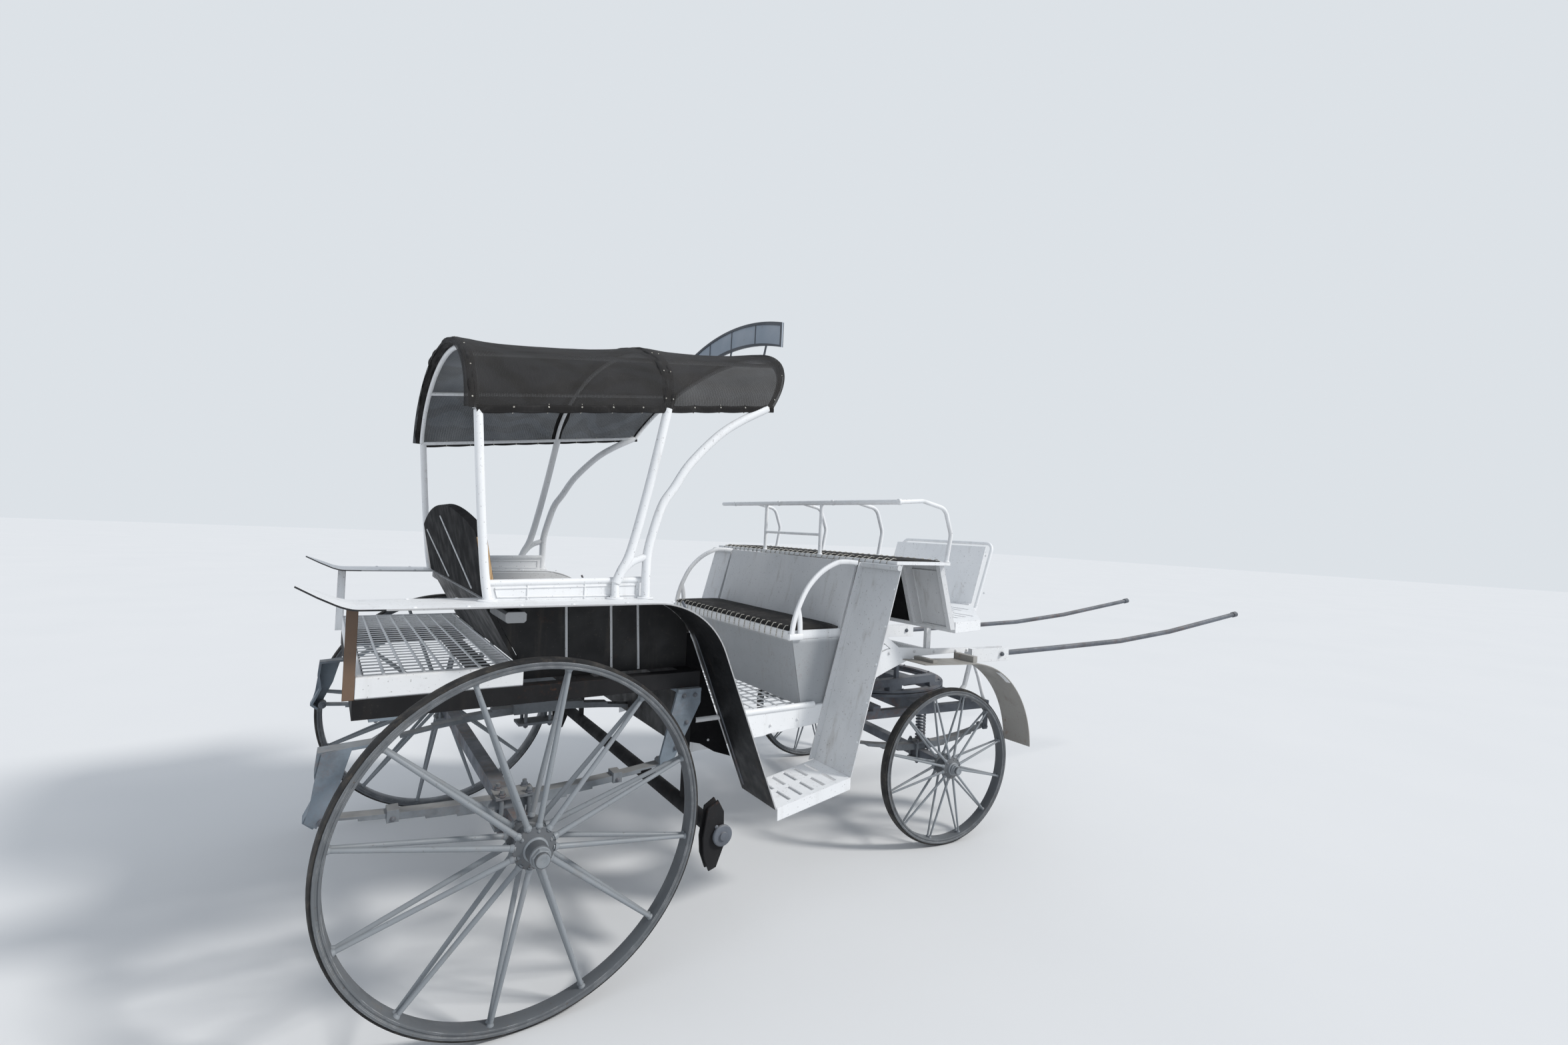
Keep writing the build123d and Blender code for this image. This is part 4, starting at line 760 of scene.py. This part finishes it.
# Seat pads and mats
def pad(name, node, mat, x, half, z, crown, pull, channels, grid):
    """A closed pad: flat below, crowned above, its sides drawn in, with sewn channels."""
    nx, ny, nz = grid
    bm = bmesh.new()
    spots = {}

    def spot(i, j, k):
        if (i, j, k) not in spots:
            u, v, w = 2 * i / nx - 1, 2 * j / ny - 1, k / nz
            inner = (1 - abs(u) ** 6) ** 0.5 * (1 - abs(v) ** 18) ** 0.5
            dip = sum(math.exp(-((v - c) * ny / 3.0) ** 2) for c in channels)
            wave = 0.10 * math.sin(5 * u + 9 * v) + 0.06 * math.sin(11 * u - 17 * v)
            swell = crown * inner * (1 - u * u) ** 0.5 * (1 + wave)
            top = z[0] + (z[1] - z[0]) * (0.50 + 0.50 * inner) + swell
            top -= crown * 0.9 * dip * inner
            belly = math.sin(math.pi * min(w, 0.85)) * 2.5
            px = (x[0] + x[1]) / 2 + u * ((x[1] - x[0]) / 2 - pull * (1 - v * v) * abs(u) ** 8 - 3 + belly)
            py = v * (half - pull * (1 - u * u) * abs(v) ** 8 - 3 + belly)
            spots[(i, j, k)] = bm.verts.new(at(px, py, z[0] + (top - z[0]) * w))
        return spots[(i, j, k)]

    for i in range(nx):
        for j in range(ny):
            for k in (0, nz):
                bm.faces.new([spot(i, j, k), spot(i + 1, j, k), spot(i + 1, j + 1, k), spot(i, j + 1, k)])
    for k in range(nz):
        for i in range(nx):
            for j in (0, ny):
                bm.faces.new([spot(i, j, k), spot(i + 1, j, k), spot(i + 1, j, k + 1), spot(i, j, k + 1)])
        for j in range(ny):
            for i in (0, nx):
                bm.faces.new([spot(i, j, k), spot(i, j + 1, k), spot(i, j + 1, k + 1), spot(i, j, k + 1)])
    bmesh.ops.recalc_face_normals(bm, faces=bm.faces)
    mesh = bpy.data.meshes.new(name)
    bm.to_mesh(mesh)
    bm.free()
    obj = put_in(name, mesh, "body", mat, 70)
    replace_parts(obj, node)


SEAT_X = (64, 653)
SEAT_Z = (1150, 1190)


def pads():
    pad("rear_seat_cushion", "rear_seat_pad", VINYL, SEAT_X, 572, SEAT_Z, crown=9, pull=7,
        channels=(-0.34, 0.34), grid=(34, 96, 5))
    pad("front_bench_mat", "front_bench_pad", MAT, (1147, 1427), 567, (1075, 1096), crown=3, pull=3,
        channels=(), grid=(24, 90, 3))
    pad("driver_mat", "driver_seat_mat", MAT, (1571, 1852), 780, (1400, 1409), crown=2, pull=4,
        channels=(), grid=(24, 110, 2))


def cushion_piping():
    """Two cords of piping round the cushion, bowed out between its corners."""
    piping = Bits("cushion_piping", VINYL)
    x0, x1, half = SEAT_X[0] + 2, SEAT_X[1] - 2, 568
    corners = [(x0, -half), (x0, half), (x1, half), (x1, -half)]
    for z in (SEAT_Z[0] + 5, SEAT_Z[0] + 21):
        loop = []
        for (xa, ya), (xb, yb) in zip(corners, corners[1:] + corners[:1]):
            nx, ny = yb - ya, xa - xb
            size = math.hypot(nx, ny)
            for k in range(24):
                f = k / 24
                bow = 6 * math.sin(math.pi * f)
                loop.append((xa + (xb - xa) * f + bow * nx / size, ya + (yb - ya) * f + bow * ny / size, z))
        piping.tube(loop, 2.8, 8, closed=True)
    piping.done()


# Laces: places along the mat, (step along it, z) of the points of a lace, and their x for each edge
LACES = (
    (range(-545, 550, 47), ((0, 1095), (0, 1096), (3, 1082), (9, 1062), (14, 1040), (17, 1034)),
     ((1162, 1149, 1140, 1139, 1141, 1150),)),
    (range(-760, 765, 48), ((0, 1408), (1, 1411), (4, 1403), (8, 1398), (13, 1386), (17, 1382)),
     ((1590, 1574, 1556, 1542, 1541, 1550), (1836, 1852, 1872, 1889, 1890, 1882))),
)
LACE_R = 1.9


def mat_lacing():
    lacing = Bits("mat_lacing", CORD)
    rnd = random.Random(5)
    for places, drop, edges in LACES:
        for y in places:
            j = rnd.uniform(-5, 5)
            for xs in edges:
                lacing.tube([(x, y + j + step, z) for x, (step, z) in zip(xs, drop)], LACE_R, 7)
    lacing.done(60)


pads()
cushion_piping()
mat_lacing()

# Seat back: it leans back from the level of the side strips
LEAN = math.atan2(42, 221)
BACK_HALF = 668
BACK_X = -113


def on_back(across, up, out=0.0):
    """A place on the rear face of the seat back, or out behind it."""
    c, s = math.cos(LEAN), math.sin(LEAN)
    return Vector((BACK_X - up * s - out * c, across, STRIP_TOP + up * c - out * s))


def rise_of(z):
    """How far up the leaning back a height is."""
    return (z - STRIP_TOP) / math.cos(LEAN)


def seat_back_trim():
    """Thin pale ribs on the rear face and the plywood seen along the straight part of its edges."""
    ribs = Bits("seat_back_ribs", WHITE_IN_SHADE)
    for (y0, z0), (y1, z1) in (((52, 1507), (-441, 1262)), ((551, 1440), (72, 1262))):
        ribs.tube([on_back(y0, rise_of(z0), 2), on_back(y1, rise_of(z1), 2)], 3.2, 8)
    ribs.done()
    ply = Bits("seat_back_edge", PLY)
    backward = (-math.cos(LEAN), 0, -math.sin(LEAN))
    for side in SIDES:
        y = side * (BACK_HALF + 1.5)
        ply.bar([on_back(y, 6, -16), on_back(y, 205, -16)], 3, 30, backward)
    ply.done()


def panel_trim():
    """Raised lines on both faces of the panels beside the rear seat."""
    trim = Bits("panel_trim", WHITE)
    for y in (672.5, 685.5, -672.5, -685.5):
        trim.tube([(-84, y, 1256), (-92, y, 1284), (384, y, 1292), (384, y, 1256)], 2.6, 8, closed=True)
    for side in SIDES:
        for x, top in ((10, 1294), (200, 1298)):
            trim.tube([(x, side * 685.5, 1248), (x, side * 685.5, top)], 2.6, 8)
    trim.done()


seat_back_trim()
panel_trim()

# Posts and, last, the link of two of them: radius, then (x, y, z) from the foot up on the left side
POST_FEET = ((-113, 700), (304, 699), (417, 700))
POST_LINES = (
    (14, ((*POST_FEET[0], STRIP_TOP), (-126, 701, 1328), (-142, 703, 1480), (-157, 705, 1660),
          (-171, 706, 1846))),
    (16.5, ((*POST_FEET[1], 1300), (322, 699, 1342), (356, 700, 1420), (412, 704, 1660), (467, 708, 1938))),
    (16.5, ((*POST_FEET[2], STRIP_TOP), (416, 700, 1330), (418, 701, 1410), (436, 701, 1491),
            (466, 702, 1586), (507, 703, 1650), (570, 704, 1748), (683, 706, 1866), (780, 708, 1935),
            (894, 708, 1998))),
    (13, ((308, 699, 1308), (330, 699, 1344), (363, 700, 1376), (417, 702, 1398))),
)
# Armrests: half the distance between them, width, and (x, z) of the bar and its leg
ARM_Y = 583.5
ARM_WIDE = 15
ARM = ((1510, 1379), (1440, 1383), (1385, 1376), (1303, 1335), (1232, 1266), (1186, 1180), (1163, 1110),
       (1153, 1040))
ARM_LEG = ((1184, 1172), (1196, 1120), (1201, 1040))


def canopy_posts():
    posts = Bits("canopy_post_tubes", WHITE)
    for side in SIDES:
        for r, line in POST_LINES:
            posts.tube(curve([(x, side * y, z) for x, y, z in line]), r, 16)
        x, y = POST_FEET[1]
        posts.turned((x, side * y, STRIP_TOP), UP, [(0, 13), (62, 13), (66, 11)], 16)
    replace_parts(posts.done(60), "canopy_posts")


def armrests():
    """Flat bars bent in one sweep, each with a leg and a foot board."""
    rests = Bits("armrest_bars", WHITE)
    for side in SIDES:
        for line, wide in ((ARM, ARM_WIDE), (ARM_LEG, ARM_WIDE - 1.5)):
            rests.bar(curve([(x, side * ARM_Y, z) for x, z in line]), wide, 22, (1, 0, 1))
        rests.board(1140, 1212, side * ARM_Y - 8.5, side * ARM_Y + 8.5, 1036, 1064)
    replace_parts(rests.done(50), "armrests")


canopy_posts()
armrests()

# Floors: the platform behind the seat and the footwell between the seats
DECK_TOP = 1029
DECK_LOW = 963
DECK_HALF = 666
WELL_TOP = 742
WELL_X = (672.3, 1440)
WELL_HALF = 573


def grating(bits, x0, x1, half, top, pitch, cross_at):
    """Bars across the floor, over thinner ones along it."""
    count = int((half - 10) // pitch)
    for k in range(-count, count + 1):
        bits.bar([(x0, pitch * k, top - 8), (x1, pitch * k, top - 8)], 7, 4, UP)
    for x in cross_at:
        bits.bar([(x, -half, top - 3), (x, half, top - 3)], 8, 5, UP)


def rear_platform():
    deck = Bits("platform_boards", WHITE)
    for side in SIDES:
        deck.board(-457.7, 10, side * 677.5 - 12.5, side * 677.5 + 12.5, DECK_LOW, DECK_TOP)
    deck.board(-463, -457.7, -659.5, 659.5, DECK_LOW, DECK_TOP)
    deck.board(-457.8, -438, -DECK_HALF, DECK_HALF, DECK_LOW, DECK_TOP)
    deck.board(2, 10, -DECK_HALF, DECK_HALF, DECK_LOW, DECK_TOP - 14)
    grating(deck, -439, 3, DECK_HALF, DECK_TOP, 52, range(-384, 10, 54))
    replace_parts(deck.done(), "rear_platform")


def footwell():
    """Sills with a ragged lower edge and a round moulding, cross boards and the grating."""
    well = Bits("footwell_boards", WHITE)
    rnd = random.Random(9)
    (x0, x1), rise, run = WELL_X, 50, 768
    for side in SIDES:
        low_edge = [(x, 668 - (x1 - x) * rise / run + rnd.uniform(-2.5, 2.5)) for x in range(x1, 672, -32)]
        sill = [(x0, WELL_TOP), (x1, WELL_TOP)] + low_edge + [(x0, 618)]
        well.slab(sill, side * 572, side * BODY_HALF)
        well.tube([(700, side * (BODY_HALF - 4), 746), (1290, side * (BODY_HALF - 4), 746)], 13, 16)
    grating(well, x0, x1, WELL_HALF, WELL_TOP, 54, range(720, x1, 60))
    well.board(x0, 690, -WELL_HALF, WELL_HALF, 640, WELL_TOP - 14)
    well.board(1400, x1, -WELL_HALF, WELL_HALF, 680, WELL_TOP - 14)
    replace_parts(well.done(), "footwell_floor")


rear_platform()
footwell()

# Seat box, its top following the bend of the strips: middle and radius of the bend, and front of the box
BEND_X, BEND_Z, BEND_R = 404, 942.5, 296
BOX_FRONT = 645
BOX_IN = BODY_HALF - WALL
BACK_SLOPE = ((-113, 1240), (-99, 1240), (11, 1040), (11, DECK_TOP + 0.3), (0, DECK_TOP + 0.3))


def seat_box():
    box = Bits("seat_box_panels", SEAT_BOX)
    turns = [math.radians(5 * k) for k in range(12)]
    bend = [(BEND_X + BEND_R * math.sin(a), BEND_Z + BEND_R * math.cos(a)) for a in turns]
    outline = [(10.3, DECK_LOW), (BOX_FRONT, DECK_LOW), (BOX_FRONT, 1106)]
    outline += [q for q in reversed(bend) if q[0] < BOX_FRONT]
    outline += [(-98, 1240), (10.3, 1046)]
    for side in SIDES:
        box.slab(outline, side * BOX_IN, side * BODY_HALF)
    box.slab(BACK_SLOPE, -BODY_HALF, BODY_HALF)
    box.board(BOX_FRONT, 660, -BODY_HALF, BODY_HALF, DECK_LOW, 1094)
    box.board(BOX_FRONT, 660, -BOX_IN, BOX_IN, 1094, 1135)
    box.board(60, 660, -BOX_IN, BOX_IN, 1135, SEAT_Z[0])
    box.board(BOX_FRONT, 672, -BODY_HALF, BODY_HALF, 640, DECK_LOW)
    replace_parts(box.done(), "rear_seat_box")


seat_box()

# Plates beside the body, as (x, z) outlines
SKIRT = ((646, 1106), (672, 1056), (772, 810), (866, 580), (789, 609), (723, 650), (674, 664), (646, 664))
CHEEK = ((-530, 826), (-455, 837), (-470, 782), (-484, 726), (-507, 672), (-532, 618), (-562, 638),
         (-550, 690), (-544, 744))
BENCH_SIDE = ((1166, 1035.5), (1425, 1035.5), (1425, WELL_TOP + 2), (1227, WELL_TOP + 2))


def plates(name, mat, outline, inner, outer):
    """The same plate on both sides of the body."""
    bits = Bits(name, mat)
    for side in SIDES:
        bits.slab(outline, side * inner, side * outer)
    bits.done()


def strip_brackets():
    arms = Bits("strip_brackets", CHANNEL)
    for side in SIDES:
        arms.board(-86, -24, *sorted((side * 600, side * 832)), 1192, 1226)
    arms.done()


def wall_x(z):
    """The rear face of the driver's wall, which leans forwards on its way down."""
    return 1867 + (1384.7 - z) * 98 / 309.7


def driver_wall():
    """Thin black boards in the middle bays, standing in for the shade of the opening behind them (painted
    shade), and a trim line round the outer ones.
    """
    boards = Bits("driver_wall_shade_boards", BLACK)
    trim = Bits("driver_wall_trim", WHITE_IN_SHADE)
    top, low = wall_x(1380), wall_x(1080)
    board = [(top - 2.5, 1380), (top - 0.5, 1380), (low - 0.5, 1080), (low - 2.5, 1080)]
    bay = ((581, 1086), (581, 1355), (750, 1355), (750, 1086))
    for side in SIDES:
        for y0, y1 in ((13, 247), (273, 507)):
            boards.slab(board, side * y0, side * y1)
        trim.tube([(wall_x(z) - 2, side * y, z) for y, z in bay], 4, 8, closed=True)
    boards.done()
    trim.done()


plates("fender_skirts", BLACK, SKIRT, BODY_HALF + 0.6, BODY_HALF + 3.5)
plates("scroll_cheeks", SCROLL, CHEEK, 709.5, 713)
plates("bench_side_panels", BENCH_SHADED_BELOW, BENCH_SIDE, 572.5, 575.5)
strip_brackets()
driver_wall()

# Battens of the seat box as x of their top and foot, and the rods of the fenders as (x, y, z)
BATTENS = ((166, 180), (329, 344), (432, 449))
BATTEN_Z = (1238, DECK_LOW + 5)
FENDER_ROD = ((606, 618, 1222), (640, 622, 1153), (714, 626, 975), (778, 622, 818), (812, 622, 735),
              (876, 622, 578), (922, 622, 465))


def battens_and_rods():
    pale = Bits("seat_box_battens", WHITE_IN_SHADE)
    stiff = Bits("fender_rods", IRON)
    for side in SIDES:
        y = side * (BODY_HALF + 1.5)
        for xs in BATTENS:
            pale.bar([(x, y, z) for x, z in zip(xs, BATTEN_Z)], 9, 4, (0, side, 0))
        stiff.tube([(x, side * along, z) for x, along, z in FENDER_ROD], 5, 10)
    pale.done()
    stiff.done()


# Bolts of the body sides as (x, z): arch plates, then footwell sills
ARCH_BOLTS = ((1470, 690), (1500, 745), (1560, 815), (1640, 900), (1730, 945), (1900, 945), (2040, 934),
              (2200, 929), (2285, 928))
SILL_BOLTS = ((760, 660), (900, 670), (1060, 680), (1200, 690), (1400, 700))


def body_bolts():
    """Rivets, bolts and the collars of the posts, painted with the body."""
    fit = Bits("body_bolts", WHITE)
    for side in SIDES:
        out = (0, side, 0)
        for x in (-330, -190, -40, 120, 300, 470):
            fit.dome((x, side * 612, STRIP_TOP), UP, 7)
            fit.dome((x, side * 826, STRIP_TOP), UP, 7)
        for x, z in ARCH_BOLTS:
            fit.bolt((x, side * BODY_HALF, z), out, 8)
        for x, z in SILL_BOLTS:
            fit.bolt((x, side * BODY_HALF, z), out, 7)
        for z in (640, 800, 960, 1120, 1280):
            x = 1306 + (z - 500) * 242 / 892
            fit.dome((x - 3, side * 835, z), (-0.965, 0, 0.262), 6)
        for x, y in POST_FEET:
            fit.turned((x, side * y, STRIP_TOP), UP, [(0, 30), (4, 30), (6, 27), (6, 17), (12, 15.5)], 24)
        for y in (-370, 370):
            fit.dome((2680, y, 1200 if side > 0 else 1420), (1, 0, -0.3), 6)
        for y in (250, 500, 720):
            fit.dome((1980, side * y, 1100), (1, 0, 0), 5)
    for y in (-230, 290):
        fit.turned((1558, y, 1400), UP, [(0, 15), (3, 14.5), (7, 10.5)], 16)
    for y in (-800, -325, 160, 645):
        fit.turned((1558, y, 1665), (-1, 0, 0), [(-2, 14), (10, 13.6), (13, 11)], 16)
        fit.turned((1873, y, 1400), UP, [(0, 14.5), (4, 14), (9, 10.5)], 16)
    fit.done()


def mudguard_tabs():
    tabs = Bits("mudguard_tabs", WHITE)
    arc = [math.radians(a) for a in (50, 53, 56, 59, 62)]
    for side in SIDES:
        line = [(PIVOT_X + MUDGUARD_R * math.cos(a), side * 728, FRONT_AXLE_Z + MUDGUARD_R * math.sin(a))
                for a in arc]
        tabs.bar(line, 26, 4, (math.cos(arc[0]), 0, math.sin(arc[0])))
    tabs.done()


def rear_spring_fittings():
    """Spring bolts, eyes and clips, the bolts of the turning ring and the brake's ends."""
    iron = Bits("spring_fittings_rear", IRON)
    for side in SIDES:
        out, back = (0, side, 0), (0, -side, 0)
        for x in (-42, 42):
            for y in (647, 712):
                iron.bolt((x, side * y, 620), UP, 13)
                iron.bolt((x, side * y, 513), DOWN, 13)
        for x, y in ((-521, 709), (521, 714)):
            iron.bolt((x, side * y, 634), out, 13)
            iron.bolt((x, side * 650, 634), back, 13)
        for x in (-345, 345):
            iron.bolt((x, side * 706, 606), out, 8)
        for x, z in ((585, 880), (630, 880), (600, 780), (560, 690)):
            iron.bolt((x, side * 714, z), out, 9)
        for x in (-400, -350, -310):
            iron.bolt((x, side * 668, 896), DOWN, 8)
        iron.turned((645, side * 940, 440), out, [(-2, 37), (5, 37), (8, 34), (8, 15), (14, 14)], 30)
        iron.bolt((625, side * 901, 470), back, 9)
        iron.bolt((625, side * 929, 470), out, 9)
    for x in (190, 290):
        for y in (-34, 34):
            iron.bolt((x, y, 640), DOWN, 11)
    for k in range(12):
        a = math.radians(15 + 30 * k)
        iron.bolt((PIVOT_X + 400 * math.cos(a), 400 * math.sin(a), 693), UP, 8)
    iron.done()


COIL_TURNS = 8
COIL_R = 22
COIL_HIGH = 128


def front_spring_fittings():
    """Bolts of the front springs and shaft forks, and the coils on the front axle."""
    iron = Bits("spring_fittings_front", IRON, "forecarriage", fore)
    for side in SIDES:
        out, back = (0, side, 0), (0, -side, 0)
        for x in (-34, 34):
            for y in (451, 509):
                iron.bolt((x, side * y, 449), UP, 11)
                iron.bolt((x, side * y, 352), DOWN, 11)
        for x in (-430, 430):
            iron.bolt((x, side * 512, 489), out, 12)
            iron.bolt((x, side * 458, 489), back, 12)
        turns = [2 * math.pi * k / 16 for k in range(16 * COIL_TURNS + 1)]
        coil = [(COIL_R * math.cos(t), side * 486 + COIL_R * math.sin(t), 456 + COIL_HIGH * t / turns[-1])
                for t in turns]
        iron.tube(coil, 5.5, 8)
        x, z = SHAFT_BOLT
        iron.bolt((x, side * 470, z), out, 13)
        iron.bolt((x, side * 404, z), back, 13)
    iron.done()


battens_and_rods()
body_bolts()
mudguard_tabs()
rear_spring_fittings()
front_spring_fittings()


# Floor, light and camera: turn of the camera in degrees, its place, and its focal length in photo pixels
CAMERA_YAW, CAMERA_PITCH, CAMERA_ROLL = 55.746, 0.67, -2.706
CAMERA_AT = (-556, -2996, 1514)
FOCAL_PX = 1014.5
PHOTO_WIDE_PX = 2352
SENSOR_WIDE = 36
FLOOR_HALF = 60


def floor():
    t = Tree("floor")
    colour = t.mix(t.noise(0.7, detail=3.0), (0.70, 0.71, 0.72), (0.74, 0.745, 0.75))
    t.done(colour, 0.9, spec=0.1)
    mesh = bpy.data.meshes.new("floor")
    corners = [(x * FLOOR_HALF, y * FLOOR_HALF, 0) for x, y in ((-1, -1), (1, -1), (1, 1), (-1, 1))]
    mesh.from_pydata(corners, [], [(0, 1, 2, 3)])
    mesh.materials.append(t.mat)
    add_object("floor", mesh)


def world():
    """Soft cool light from all round, where the camera itself sees a plain grey."""
    studio = bpy.data.worlds.new("studio")
    bpy.context.scene.world = studio
    studio.use_nodes = True
    t = Nodes(studio.node_tree)
    light = t.node("Background", {"Color": (0.86, 0.92, 1.0), "Strength": 0.72})
    seen = t.node("Background", {"Color": (0.72, 0.76, 0.80), "Strength": 1.0})
    ray = t.node("LightPath").outputs
    either = t.math("MAXIMUM", ray["Is Camera Ray"], ray["Is Transmission Ray"])
    blend = t.node("MixShader", {"Fac": either, 1: light.outputs[0], 2: seen.outputs[0]})
    t.node("OutputWorld", {"Surface": blend.outputs[0]})


def sun():
    lamp = bpy.data.lights.new("sun", "SUN")
    lamp.energy = 2.2
    lamp.angle = math.radians(9)
    lamp.color = (1.0, 0.975, 0.94)
    towards = Vector((0.62, -0.70, 0.80))
    add_object("sun", lamp).rotation_euler = towards.to_track_quat("Z", "Y").to_euler()


def camera():
    yaw, pitch, roll = (math.radians(a) for a in (CAMERA_YAW, CAMERA_PITCH, CAMERA_ROLL))
    ahead = Vector((math.cos(yaw) * math.cos(pitch), math.sin(yaw) * math.cos(pitch), math.sin(pitch)))
    right = Vector((math.sin(yaw), -math.cos(yaw), 0))
    down = ahead.cross(right)
    x_axis = right * math.cos(roll) + down * math.sin(roll)
    y_axis = right * math.sin(roll) - down * math.cos(roll)
    data = bpy.data.cameras.new("camera")
    data.sensor_fit = "HORIZONTAL"
    data.sensor_width = SENSOR_WIDE
    data.lens = SENSOR_WIDE * FOCAL_PX / PHOTO_WIDE_PX
    data.clip_end = 200
    obj = add_object("camera", data)
    turn = Matrix((x_axis, y_axis, -ahead)).transposed()
    obj.matrix_world = Matrix.Translation(at(*CAMERA_AT)) @ turn.to_4x4()
    bpy.context.scene.camera = obj


floor()
world()
sun()
camera()
bpy.context.scene.view_settings.view_transform = "Standard"
